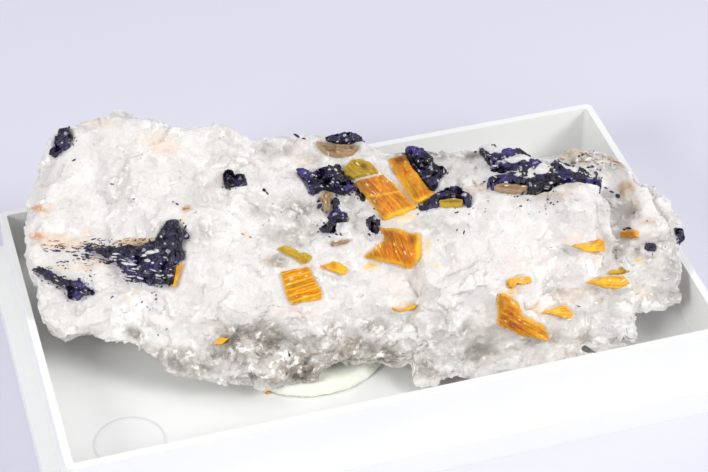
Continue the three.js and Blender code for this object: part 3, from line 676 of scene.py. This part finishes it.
def quartz_material():
    material, tree, shader = new_material("quartz")
    place = place_of(tree)
    facet = number(tree, "facet")
    plate = number(tree, "plate")
    crisp = number(tree, "crisp")
    contrast = levels(tree, crisp, 0.15, 0.8, 0.35, 1.0)
    cloud = levels(tree, noise_of(tree, place, 7.0, 5.0), 0.35, 0.7)
    crumb = levels(tree, noise_of(tree, place, 1.4, 6.0, 0.65), 0.3, 0.72)
    grain = node(tree, "SeparateColor", {0: cells_of(tree, place, 0.7)}).outputs[0]
    colour = mixed(tree, cloud, (0.765, 0.735, 0.70), (0.87, 0.84, 0.805))
    colour = mixed(tree, levels(tree, plate, 0.0, 1.0, 0.0, 0.25), colour, (0.64, 0.62, 0.60))
    dull = times(tree, levels(tree, facet, 0.5, 0.15, 0.0, 0.6), contrast)
    colour = mixed(tree, dull, colour, (0.50, 0.48, 0.46))
    white = times(tree, levels(tree, facet, 0.62, 0.85, 0.0, 0.8), contrast)
    colour = mixed(tree, white, colour, (0.93, 0.92, 0.90))
    colour = mixed(tree, times(tree, crumb, 0.25), colour, (0.66, 0.64, 0.60))
    sugar = levels(tree, noise_of(tree, place, 0.45, 3.0, 0.6), 0.42, 0.62, 0.0, 0.22)
    colour = mixed(tree, sugar, colour, (0.60, 0.58, 0.55))
    border = cells_of(tree, warped(tree, place), 2.6, "Distance", "DISTANCE_TO_EDGE")
    crack = levels(tree, border, 0.0, 0.05, 0.3, 0.0)
    colour = mixed(tree, crack, colour, (0.55, 0.53, 0.50))
    colour = mixed(tree, times(tree, number(tree, "pink"), 0.5), colour, (0.86, 0.70, 0.63))
    shade_of = levels(tree, plus(tree, times(tree, facet, 0.5), times(tree, grain, 0.5)), 0.2, 0.8)
    smoke = mixed(tree, shade_of, (0.14, 0.112, 0.078), (0.52, 0.45, 0.36))
    smoke = mixed(tree, levels(tree, shade_of, 0.8, 0.9, 0.0, 0.9), smoke, (0.92, 0.90, 0.87))
    smoky = times(tree, number(tree, "smoky"), levels(tree, crumb, 0.0, 1.0, 0.75, 1.0))
    colour = mixed(tree, smoky, colour, smoke)
    stains = (
        ("warm", levels(tree, crumb, 0.1, 0.9, 0.3, 0.85), (0.80, 0.55, 0.34)),
        ("tan", levels(tree, crumb, 0.0, 1.0, 0.6, 1.0), (0.52, 0.31, 0.11)),
        ("iron", levels(tree, crumb, 0.0, 1.0, 0.5, 1.0), (0.58, 0.25, 0.08)),
        ("yellow", 0.85, (0.85, 0.57, 0.12)),
    )
    for kind, share, tint in stains:
        colour = mixed(tree, times(tree, number(tree, kind), share), colour, tint)
    bump = bumped(tree, noise_of(tree, place, 0.8, 6.0, 0.7), 0.35, 0.1)
    tilt = levels(tree, crisp, 0.2, 1.0, 0.14, 0.42)
    clear = levels(tree, facet, 0.7, 0.2, 0.0, 0.5)
    feed(tree, shader, {
        "Base Color": colour,
        "Roughness": levels(tree, facet, 0.0, 1.0, 0.12, 0.55),
        "Subsurface Weight": 0.35,
        "Subsurface Radius": (1.0, 0.85, 0.7),
        "Subsurface Scale": 1.8 * MM,
        "IOR": 1.54,
        "Transmission Weight": times(tree, number(tree, "smoky"), clear),
        "Normal": facet_normals(tree, place, 0.45, tilt, bump),
    })
    return material


def yoderite_material():
    material, tree, shader = new_material("yoderite")
    place = place_of(tree)
    parts = node(tree, "SeparateColor", {0: cells_of(tree, place, 0.6)})
    tone = levels(tree, noise_of(tree, place, 2.6, 5.0, 0.65), 0.42, 0.6)
    violet = times(tree, tone, levels(tree, number(tree, "violet"), 0.0, 1.0, 0.14, 1.0))
    colour = mixed(tree, violet, (0.004, 0.003, 0.008), (0.030, 0.017, 0.12))
    bright = times(tree, levels(tree, parts.outputs[0], 0.55, 0.9, 0.0, 0.8), violet)
    colour = mixed(tree, bright, colour, (0.085, 0.055, 0.30))
    # A few grains painted pale lavender: painted glints.
    colour = mixed(tree, levels(tree, parts.outputs[1], 0.95, 0.96, 0.0, 0.8), colour, (0.40, 0.38, 0.52))
    bump = bumped(tree, noise_of(tree, place, 0.5, 5.0, 0.7), 0.5, 0.15)
    feed(tree, shader, {
        "Base Color": colour,
        "Roughness": levels(tree, parts.outputs[2], 0.0, 1.0, 0.2, 0.5),
        "Normal": facet_normals(tree, place, 0.5, 0.5, bump),
        "IOR": 1.69,
        "Specular IOR Level": 0.35,
    })
    return material


def kyanite_material(name, deep, middle, bright):
    """Colour in fibres that run along the blade, by the numbers along and beside."""
    material, tree, shader = new_material(name)
    place = node(tree, "CombineXYZ", {0: number(tree, "along"), 1: number(tree, "beside")}).outputs[0]
    squeezed = node(tree, "VectorMath", {0: place, 1: (0.22, 1.0, 1.0)}, operation="MULTIPLY").outputs[0]
    fibre = {"Vector": squeezed, "Scale": 2.6, "Detail": 6.0, "Roughness": 0.62}
    fibre = node(tree, "TexNoise", fibre).outputs["Fac"]
    wide = node(tree, "TexNoise", {"Vector": squeezed, "Scale": 0.7, "Detail": 3.0}).outputs["Fac"]
    dark = tuple(0.3 * x for x in deep)
    colour = mixed(tree, levels(tree, wide, 0.38, 0.62), deep, middle)
    colour = mixed(tree, levels(tree, fibre, 0.48, 0.72, 0.0, 0.7), colour, bright)
    colour = mixed(tree, levels(tree, fibre, 0.28, 0.44, 0.75, 0.0), colour, dark)
    colour = mixed(tree, number(tree, "brown"), colour, dark)
    # Brighter places: partly lighter yellow kyanite, partly painted highlights.
    colour = mixed(tree, number(tree, "bright"), colour, bright)
    # Painted highlight: the top face lighter along its rims.
    colour = mixed(tree, times(tree, number(tree, "edge"), 0.7), colour, bright)
    # Painted highlight on the raised ribs and on the highest steps.
    colour = mixed(tree, times(tree, number(tree, "step"), 0.6), colour, bright)
    # Painted glints: pale specks drawn out along the fibres.
    glint_place = node(tree, "VectorMath", {0: place, 1: (1.6, 4.5, 1.0)}, operation="MULTIPLY").outputs[0]
    glint_cells = node(tree, "TexVoronoi", {"Vector": glint_place, "Scale": 1.0}).outputs["Color"]
    painted_glint = node(tree, "SeparateColor", {0: glint_cells}).outputs[0]
    colour = mixed(tree, levels(tree, painted_glint, 0.975, 0.98, 0.0, 0.75), colour, (0.98, 0.80, 0.50))
    bump = bumped(tree, fibre, 0.6, 0.12)
    feed(tree, shader, {
        "Base Color": colour,
        "Roughness": levels(tree, fibre, 0.3, 0.7, 0.2, 0.5),
        "Normal": bumped(tree, noise_of(tree, place_of(tree), 0.4, 4.0), 0.3, 0.06, bump),
        "Subsurface Weight": 0.1,
        "Subsurface Radius": (1.0, 0.5, 0.12),
        "Subsurface Scale": 0.8 * MM,
        "Specular IOR Level": 0.25,
        "IOR": 1.72,
        "Coat Weight": 0.05,
        "Coat Roughness": 0.12,
    })
    return material


def putty_material():
    material, tree, shader = new_material("putty")
    place = place_of(tree)
    tone = levels(tree, noise_of(tree, place, 5.0, 4.0), 0.3, 0.7)
    colour = mixed(tree, tone, (0.80, 0.83, 0.72), (0.87, 0.89, 0.80))
    dust = levels(tree, noise_of(tree, place, 0.5, 6.0, 0.7), 0.66, 0.74)
    colour = mixed(tree, times(tree, dust, 0.35), colour, (0.55, 0.53, 0.45))
    feed(tree, shader, {
        "Base Color": colour,
        "Roughness": levels(tree, tone, 0.0, 1.0, 0.5, 0.72),
        "Normal": bumped(tree, noise_of(tree, place, 2.0, 5.0), 0.5, 0.35),
        "Subsurface Weight": 0.3,
        "Subsurface Radius": (1.0, 0.9, 0.7),
        "Subsurface Scale": 1.0 * MM,
    })
    return material


def tray_material():
    material, tree, shader = new_material("tray_plastic")
    place = place_of(tree)
    tone = levels(tree, noise_of(tree, place, 22.0, 3.0), 0.3, 0.7)
    colour = mixed(tree, tone, (0.87, 0.875, 0.855), (0.90, 0.90, 0.885))
    feed(tree, shader, {
        "Base Color": colour,
        "Roughness": levels(tree, noise_of(tree, place, 6.0, 6.0, 0.7), 0.35, 0.75, 0.28, 0.46),
        "Normal": bumped(tree, noise_of(tree, place, 3.5, 3.0), 0.12, 0.15),
        "Subsurface Weight": 0.15,
        "Subsurface Radius": (1.0, 1.0, 0.9),
        "Subsurface Scale": 1.0 * MM,
    })
    return material


def backdrop_material():
    material, tree, shader = new_material("backdrop")
    feed(tree, shader, {"Base Color": (0.70, 0.695, 0.785, 1), "Roughness": 0.9})
    return material


# One material for each slot of the record.
materials = {
    "quartz": quartz_material(),
    "yoderite": yoderite_material(),
    "kyanite_orange": kyanite_material(
        "kyanite_orange", (0.40, 0.085, 0.0), (0.68, 0.20, 0.0), (0.95, 0.54, 0.015)),
    "kyanite_olive": kyanite_material(
        "kyanite_olive", (0.25, 0.125, 0.0), (0.46, 0.27, 0.002), (0.74, 0.51, 0.03)),
    "kyanite_tan": kyanite_material(
        "kyanite_tan", (0.09, 0.05, 0.02), (0.24, 0.135, 0.05), (0.55, 0.38, 0.22)),
    "putty": putty_material(),
    "tray_plastic": tray_material(),
}

finish_piece(quartz, "quartz", "quartz_matrix")


# Kyanite blades

def staircase(value, pitch, seed):
    """Random level for each band of a value."""
    band = np.floor(value / pitch).astype(np.int64)
    cell = np.stack([band, np.full_like(band, seed), np.zeros_like(band)], axis=1)
    return lattice(cell, seed) * 2 - 1


def kyanite_piece(name, look, towards, fibre_depth, step_depth, seed):
    points, faces = lists_of(crystal_meshes[name])
    middle, normal, _ = crystal_frames[name]
    span = np.ptp(points, axis=0).max()
    voxel = SMALL_BLADE_VOXEL if span < SMALL_BLADE else BLADE_VOXEL
    piece, points, out = skinned("crystal_" + name, points, faces, voxel)
    along = in_plane(normal, middle, towards)
    beside = np.cross(normal, along)
    u = (points - middle) @ along
    v = (points - middle) @ beside
    on_top = ramp(out @ normal, 0.3, 0.8)
    side = (out @ normal) < 0.35
    # Nearness to the rim of the top face. It chips the rim, and the material paints a highlight along it.
    rim = points[side & ((points - middle) @ normal > 0)]
    edge = np.ones(len(points))
    if len(rim):
        tree = point_tree(rim)
        edge = np.exp(-np.array([tree.find(point)[2] for point in points]) / 0.3)

    wander = 0.35 * soft_noise(points, 1.6, seed) + 0.12 * soft_noise(points, 0.5, seed + 1)
    fibres = 0.6 * staircase(v + wander * 0.6, 0.62, seed + 2)
    fibres += 0.4 * staircase(v + wander * 0.3, 0.27, seed + 3)
    steps = staircase(u + 0.35 * v + wander, 2.3, seed + 4)
    height = fibre_depth * fibres + step_depth * steps + 0.03 * soft_noise(points, 0.6, seed + 5)
    ribbed = name == "kyanite_striated_block"
    if ribbed:
        height = 0.17 * np.sin(2 * math.pi * (v + 0.5 * wander) / 0.95) + 0.05 * fibres
    chips = broken(points, 0.8, 0.35, 0.05, seed + 6)
    height = height - 0.25 * edge * np.abs(chips)
    if name in SET_DEEPER:
        points = points - normal * SET_DEEPER[name]
    ragged = 0.22 * soft_noise(points, 1.3, seed + 9) + 0.1 * soft_noise(points, 0.45, seed + 10)
    ragged += 0.25 * chips
    raised = normal * (height * on_top)[:, None] + out * (ragged * (1 - on_top))[:, None]
    place_corners(piece, points + raised)
    store(piece, "along", u)
    store(piece, "beside", v + 40 * (seed % 7))
    store(piece, "edge", edge)
    store(piece, "brown", spots(points, KYANITE_BROWN) * (1 + 0.5 * soft_noise(points, 0.8, seed + 7)))
    # Brighter places: partly lighter yellow kyanite, partly painted highlights.
    store(piece, "bright", spots(points, KYANITE_BRIGHT) * (1 + 0.5 * soft_noise(points, 0.6, seed + 8)))
    # Raised ribs, or the highest steps: the material paints a highlight on them.
    store(piece, "step", ramp(height, 0.02, 0.16) if ribbed else ramp(steps, 0.75, 0.95) * 0.4)
    shade(piece, False)
    without_bubbles(piece)
    finish_piece(piece, "kyanite_" + look, name)


for i, (name, (look, towards, fibre_depth, step_depth)) in enumerate(KYANITE.items()):
    kyanite_piece(name, look, towards, fibre_depth, step_depth, 100 + 10 * i)


# Yoderite

# How far down the photograph the black upper part of the boot gives way to violet.
BOOT_TOP = 250
BOOT_BLEND = 14
# How deep a mass may be worn down, in millimetres.
WORN_DEPTH = 1.35


def yoderite_piece(name, seed):
    points, faces = lists_of(crystal_meshes[name])
    _, normal, _ = crystal_frames[name]
    piece, points, out = skinned("mass_" + name, points, faces, MASS_VOXEL)
    even = np.ones(len(points))
    points = points + out * (0.3 + 0.2 * soft_noise(points, 1.5, seed))[:, None]
    points, _ = chipped(points, out, len(points) // 40, 1.3, 0.15 * even, 0.35, 0.45 * even, seed + 1)
    points, _ = chipped(points, out, len(points) // 14, 0.6, 0.06 * even, 0.45, 0.2 * even, seed + 2)
    # Here and there a mass thins out and the quartz under it shows.
    worn = soft_noise(points, 1.7, seed + 4) + 0.6 * soft_noise(points, 0.7, seed + 5)
    worn = WORN_DEPTH * ramp(worn, 0.3, 0.55)
    worn *= ramp(out @ normal, 0.2, 0.6)
    violet = ramp(soft_noise(points, 3.2, seed + 3), -0.5, 0.3)
    if name == "yoderite_boot":
        lower = ramp(seen(points)[1], BOOT_TOP, BOOT_TOP + BOOT_BLEND)
        violet *= lower
        worn *= lower
    place_corners(piece, points - normal * worn[:, None])
    store(piece, "violet", violet)
    shade(piece, False)
    finish_piece(piece, "yoderite", name)
    return piece


masses = {name: yoderite_piece(name, 400 + 10 * i) for i, name in enumerate(YODERITE)}
ground = BVHTree.FromPolygons(*joined([lists_of(piece.data) for piece in (quartz, *masses.values())]))


# Small grains and streaks, set in the rock's surface

# Grains with a longer half size than this, in millimetres, get a finer ball.
LARGE_GRAIN = 0.35


def grain_shape(random, divisions):
    """A small angular lump: a ball with flats cut on it."""
    bm = bmesh.new()
    bmesh.ops.create_icosphere(bm, subdivisions=divisions, radius=1.0)
    points = np.array([v.co for v in bm.verts])
    faces = [tuple(v.index for v in face.verts) for face in bm.faces]
    bm.free()
    for _ in range(9):
        facing = random.normal(size=3)
        facing /= np.linalg.norm(facing)
        level = random.uniform(0.55, 0.9)
        proud = np.maximum(points @ facing - level, 0)
        points = points - facing * proud[:, None]
    return points, faces


def grains(name, slot, places, seed):
    """One piece of many grains. A place is a point, a normal, the long direction and three half sizes."""
    random = np.random.default_rng(seed)
    stacks, faces, count = [], [], 0
    for point, normal, along, sizes in places:
        shape, shape_faces = grain_shape(random, 2 if max(sizes) > LARGE_GRAIN else 1)
        along = along - normal * (along @ normal)
        along /= np.linalg.norm(along)
        beside = np.cross(normal, along)
        shape = shape * np.array(sizes)
        stacks.append(point + shape[:, :1] * along + shape[:, 1:2] * beside + shape[:, 2:] * normal)
        faces += [tuple(i + count for i in face) for face in shape_faces]
        count += len(shape)
    piece = new_object(name, np.vstack(stacks), faces)
    shade(piece, False)
    finish_piece(piece, slot)
    return piece


def streak_places(specs, sunk):
    """Places of streaks drawn in the photograph as middle, length, width and turn in degrees."""
    places = []
    for u, v, length, width, turn in specs:
        point, normal = on_ground(u, v)
        if point is None:
            continue
        normal = towards_eye(normal)
        along = in_plane(normal, point, turned(turn))
        half = length / PIXELS_IN_ONE / 2
        wide = width / PIXELS_IN_ONE / 2
        tall = max(0.12, wide * 0.8)
        places.append((point - normal * tall * sunk, normal, along, (half, wide, tall)))
    return places


def strewn(fields, random):
    """Streaks over fields of the photograph: a box, how many, ranges of length and width, and the turn."""
    specs = []
    for (left, top, right, bottom), count, length, width, turn in fields:
        for _ in range(count):
            u, v = random.uniform(left, right), random.uniform(top, bottom)
            specs.append((u, v, random.uniform(*length), random.uniform(*width), turn + random.normal(0, 7)))
    return specs


random = np.random.default_rng(7)

# The foliated band to the left of the boot and through its foot.
BAND = (
    ((44, 244, 100, 252), 34, (3, 11), (1.0, 2.2), 6),
    ((84, 238, 112, 250), 40, (2, 7), (1.2, 2.6), -12),
    ((74, 254, 92, 260), 16, (4, 10), (1.4, 2.8), 10),
    ((100, 254, 126, 264), 40, (3, 9), (1.0, 2.6), 10),
    ((56, 260, 76, 270), 16, (2, 6), (0.9, 1.8), 0),
    ((32, 266, 56, 274), 20, (3, 9), (1.0, 2.2), 8),
    ((84, 270, 94, 284), 8, (2, 4), (1.0, 1.6), 30),
    ((120, 262, 176, 284), 60, (3, 9), (1.0, 2.2), 10),
)
# Single specks: middle, length, width and turn.
specks = [
    (74, 160, 5, 2, -25), (112, 184, 5, 1.6, 5), (134, 199, 2.6, 2, -50), (173, 202, 4, 2.4, 20),
    (177, 204, 6, 3, 20), (94, 144, 1.6, 1.4, 0), (264, 190, 6, 4, 40), (267, 193, 5, 2.4, 50),
    (249, 203, 1.5, 1.5, 0), (269, 220, 1.6, 1.6, 0), (263, 225, 2, 2, 0), (273, 204, 2, 1.6, 0),
    (457, 230, 4, 2, -60), (464, 232, 5, 2, -75), (438, 240, 1.6, 1.4, 0), (427, 211, 2.6, 1.6, 0),
    (469, 214, 3, 1.4, -70), (535, 194, 3.4, 1.8, 10), (546, 214, 2, 1.6, 0), (488, 201, 2.4, 1.4, 30),
    (112, 297, 6, 2.6, -50), (90, 276, 5, 2, 40), (142, 302, 4, 1.8, -50), (152, 293, 3, 2, 0),
    (156, 295, 3, 2, 40), (156, 299, 4, 2.4, 10), (154, 292, 2.4, 1.4, 0), (147, 307, 4, 1.2, 30),
    (150, 310, 3, 1.2, 20), (158, 335, 3.4, 1.6, 55), (167, 329, 3.6, 1.4, 5), (150, 326, 1.6, 1.2, 0),
    (92, 281, 4, 1.4, 20), (636, 249, 3, 2, 20), (634, 213, 4, 1.6, -45), (647, 221, 3.6, 1.2, -5),
    (665, 247, 2.4, 1.6, 0), (582, 155, 7, 2.4, -10), (579, 156, 3, 3, 60), (586, 153, 3, 1.6, 0),
    (616, 250, 3, 3, 70), (31, 213, 2, 2, 0), (22, 217, 1.6, 1.6, 0), (106, 107, 1.8, 1.6, 0),
    (152, 113, 12, 1.4, 12), (198, 120, 10, 1.2, 2), (220, 138, 1.6, 1.4, 0), (224, 137, 1.4, 1.4, 0),
    (396, 147, 8, 2.6, 20), (470, 149, 10, 3, 20), (476, 152, 7, 4, 30), (290, 133, 8, 3, 20),
    (297, 136, 9, 3.4, 35), (304, 138.6, 7, 2, 10), (628, 228.4, 10, 3.6, -5), (624, 229.6, 5, 2.6, -20),
    (606, 188, 7, 2.2, 30), (612, 192, 8, 2.6, 30), (618, 196, 7, 4.6, 30), (600, 185, 5, 2.2, 10),
    (591, 166.4, 9, 3.2, 0), (588, 167.4, 5, 3, 0), (318.5, 201, 5, 4, 80), (319.5, 206, 8, 6, 85),
    (322.5, 209.5, 7, 4, 60), (320.5, 199, 6, 3, 10), (329, 222, 6, 3, 80), (322, 231, 6, 3.4, 20),
    (300, 173, 7, 2.4, -10), (306, 175, 7, 3, 35), (311, 180, 8, 3, 50), (350, 187, 8, 5, 40),
    (330, 237, 3, 1.6, 20), (377, 229, 6, 2.4, 60),
]
places = streak_places(strewn(BAND, random), 0.45) + streak_places(specks, 0.2)
dark = grains("yoderite_streaks_and_specks", "yoderite", places, 71)
store(dark, "violet", ramp(soft_noise(corners_of(dark.data), 1.5, 73), -0.5, 0.3))

# Tan streaks in the same band and on the top right ledges, and four by themselves.
TAN_FIELDS = (
    ((36, 240, 100, 250), 26, (4, 12), (0.9, 1.8), 5),
    ((110, 238, 156, 246), 22, (4, 12), (1.0, 2.4), -8),
    ((84, 256, 104, 266), 14, (4, 10), (0.8, 1.5), 14),
    ((564, 146, 626, 166), 40, (5, 16), (0.9, 1.9), 8),
)
tans = strewn(TAN_FIELDS, random)
tans += [(184.5, 209, 8, 4.4, -8), (189, 208.4, 6, 3, 0), (243, 234, 6, 2, 35), (250, 237, 7, 2, 25)]
tan_piece = grains("tan_streaks", "kyanite_tan", streak_places(tans, 0.55), 72)
store(tan_piece, "along", corners_of(tan_piece.data)[:, 0])
store(tan_piece, "beside", corners_of(tan_piece.data)[:, 1])
# The tan streaks take an even share of the painted rim highlight.
store(tan_piece, "edge", 0.4)
store(tan_piece, "step brown bright", 0)


# Loose grains round the masses, in millimetres: how far out they are tried, how
# many tries to a square millimetre, how near and how far they may lie, and the
# height from which each one drops on the rock.
STRAY_MARGIN = 0.9
STRAY_TRIES = 4
STRAY_NEAR, STRAY_FAR = 0.1, 0.42
STRAY_DROP = 6


def ragged_edge(seed):
    """Loose grains round the masses, so that their outlines break up."""
    random = np.random.default_rng(seed)
    places = []
    for name in YODERITE:
        middle, normal, _ = crystal_frames[name]
        along = np.cross(normal, (0, 1, 0.3))
        along /= np.linalg.norm(along)
        beside = np.cross(normal, along)
        dense = corners_of(masses[name].data)
        flat = np.stack([(dense - middle) @ along, (dense - middle) @ beside], axis=1)
        tree = point_tree([(x, y, 0) for x, y in flat])
        low, high = flat.min(axis=0) - STRAY_MARGIN, flat.max(axis=0) + STRAY_MARGIN
        tries = int(np.prod(high - low) * STRAY_TRIES)
        for x, y in random.uniform(low, high, (tries, 2)):
            off = tree.find((x, y, 0))[2]
            if off < STRAY_NEAR or off > random.uniform(STRAY_NEAR, STRAY_FAR):
                continue
            start = middle + along * x + beside * y + normal * STRAY_DROP
            hit = rock_tree.ray_cast(Vector(start * MM), Vector(-normal))[0]
            if hit is None:
                continue
            size = random.uniform(0.06, 0.2)
            sizes = (size * random.uniform(1, 2.4), size, size * random.uniform(0.5, 0.9))
            turn = random.uniform(0, math.pi)
            long_way = along * math.cos(turn) + beside * math.sin(turn)
            places.append((np.array(hit) / MM, normal, long_way, sizes))
    piece = grains("yoderite_loose_grains", "yoderite", places, seed + 1)
    store(piece, "violet", ramp(soft_noise(corners_of(piece.data), 1.5, seed + 2), -0.5, 0.3))


ragged_edge(51)

# White quartz grains caught in the masses: how many to a square millimetre.
CAUGHT = {
    "yoderite_boot": 0.03,
    "yoderite_lower_left": 0.12,
    "yoderite_beside_the_long_blade": 0.25,
    "yoderite_drip": 0.2,
    "yoderite_below_the_drip": 0.3,
    "yoderite_beside_the_second_blade": 0.25,
    "yoderite_around_the_olive_lens": 0.3,
    "yoderite_ragged_band": 0.3,
    "yoderite_upper_left": 0.2,
    "yoderite_top_edge": 0.4,
}


def caught_grains(seed):
    random = np.random.default_rng(seed)
    places = []
    for name, share in CAUGHT.items():
        _, normal, _ = crystal_frames[name]
        mesh = masses[name].data
        points = corners_of(mesh)
        out = normals_of(mesh)
        facing = np.nonzero(out @ normal > 0.4)[0]
        count = int(len(facing) * MASS_VOXEL ** 2 * share)
        for i in random.choice(facing, count):
            size = random.uniform(0.09, 0.26)
            sizes = (size * random.uniform(1, 1.8), size, size * 0.8)
            along = random.normal(size=3)
            places.append((points[i] - out[i] * 0.03, out[i], along, sizes))
    piece = grains("quartz_grains_in_the_masses", "quartz", places, seed + 1)
    store(piece, "warm iron tan yellow pink plate crisp", 0)
    store(piece, "facet", random.random(len(piece.data.vertices)))
    store(piece, "smoky", 0.2)


caught_grains(61)


# Quartz drawn out through the boot's foot, its band, the masses by the long
# blade, the ragged band and the mass beside the second blade.
WHITE_FIELDS = (
    ((102, 254, 176, 286), 44, (3, 13), (0.8, 2.6), 10),
    ((40, 268, 90, 296), 16, (2, 6), (0.9, 1.8), 25),
    ((300, 168, 364, 192), 16, (2, 6), (0.9, 1.8), 10),
    ((484, 152, 600, 190), 46, (3, 9), (0.9, 2.0), 15),
    ((408, 152, 444, 188), 14, (2, 6), (0.9, 1.6), 60),
)


def white_streaks(seed):
    """Quartz streaks and lenses in the yoderite."""
    random = np.random.default_rng(seed)
    specs = strewn(WHITE_FIELDS, random)
    specs += [(150, 253, 15, 6, -4), (146, 260, 14, 4, 12), (128, 264, 20, 4, 8), (160, 276, 12, 3, 15)]
    specs += [(157, 251, 9, 5, 12), (144, 255, 9, 4, -10)]
    piece = grains("quartz_streaks", "quartz", streak_places(specs, 0.35), seed + 1)
    store(piece, "warm iron tan yellow pink plate smoky crisp", 0)
    store(piece, "facet", random.uniform(0.4, 0.9, len(piece.data.vertices)))


white_streaks(66)


# Height of the tray's floor, in millimetres.
TRAY_FLOOR = 5.5


def on_tray_floor(u, v):
    line = sight(u, v)
    return EYE + line * ((TRAY_FLOOR - EYE[2]) / line[2])


def loose_crumb():
    """An orange crumb that lies on the tray's floor before the putty."""
    place = on_tray_floor(268, 393) + np.array((0, 0, 0.2))
    places = [(place, np.array((0.0, 0.0, 1.0)), np.array((1.0, 0.2, 0.0)), (0.62, 0.4, 0.26))]
    crumb = grains("crumb_on_the_floor", "kyanite_orange", places, 68)
    points = corners_of(crumb.data)
    store(crumb, "along", points[:, 0])
    store(crumb, "beside", points[:, 1])
    # A little painted highlight, and a little brown, over the whole crumb.
    store(crumb, "edge step brown bright", 0.1)


loose_crumb()


# Putty

def putty_piece():
    piece, points, out = skinned("putty_pad", *lists_of(node_mesh("mounting_putty")), PUTTY_VOXEL)
    height = 0.3 * soft_noise(points, 5.0, 81) + 0.12 * soft_noise(points, 1.8, 82)
    level = ramp(points[:, 2], 5.9, 6.4)
    place_corners(piece, points + out * (height * level)[:, None])
    shade(piece, True)
    finish_piece(piece, "putty", "mounting_putty")


putty_piece()


# Tray

def tray_piece():
    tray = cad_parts["specimen_tray"]
    tray.data.materials.clear()
    tray.data.materials.append(materials["tray_plastic"])
    bevel = tray.modifiers.new("edges", "BEVEL")
    bevel.width = 0.22 * MM
    bevel.segments = 3
    bevel.limit_method = "ANGLE"
    bevel.angle_limit = math.radians(40)


tray_piece()


def moulded_ring():
    """The faint ring that the mould left on the tray's floor."""
    middle = on_tray_floor(130, 443)
    profile = ((5.3, -0.01), (5.6, 0.005), (5.8, 0.005), (6.1, -0.01))
    steps = 96
    points = []
    for i in range(steps):
        angle = 2 * math.pi * i / steps
        for radius, height in profile:
            points.append(middle + np.array((radius * math.cos(angle), radius * math.sin(angle), height)))
    count = len(profile)
    faces = []
    for i in range(steps):
        for k in range(count):
            here, up = i * count, ((i + 1) % steps) * count
            faces.append((here + k, up + k, up + (k + 1) % count, here + (k + 1) % count))
    ring = new_object("moulded_ring", points, faces)
    shade(ring, True)
    finish_piece(ring, "tray_plastic")


moulded_ring()


# Floor and light

def make_floor():
    bpy.ops.mesh.primitive_plane_add(size=6, location=(0, 0, 0))
    floor = bpy.context.active_object
    floor.name = "floor"
    floor.data.materials.append(backdrop_material())


def area_light(name, place, aim, size, watts):
    data = bpy.data.lights.new(name, "AREA")
    data.shape = "RECTANGLE"
    data.size, data.size_y = size
    data.energy = watts
    lamp = bpy.data.objects.new(name, data)
    lamp.location = place
    lamp.rotation_euler = (Vector(aim) - Vector(place)).to_track_quat("-Z", "Y").to_euler()
    scene.collection.objects.link(lamp)


make_floor()
area_light("right_soft", (0.46, -0.36, 0.42), (0, 0, 0.01), (0.28, 0.28), 3.0)
area_light("left_soft", (-0.58, -0.3, 0.42), (0, 0, 0.01), (0.28, 0.28), 2.7)
area_light("top_soft", (-0.05, 0.1, 0.6), (0, 0, 0), (0.5, 0.4), 0.75)

world = bpy.data.worlds.new("studio")
scene.world = world
world.use_nodes = True
world.node_tree.nodes["Background"].inputs["Color"].default_value = (0.93, 0.94, 1.0, 1)
world.node_tree.nodes["Background"].inputs["Strength"].default_value = 0.44
scene.view_settings.view_transform = "Standard"
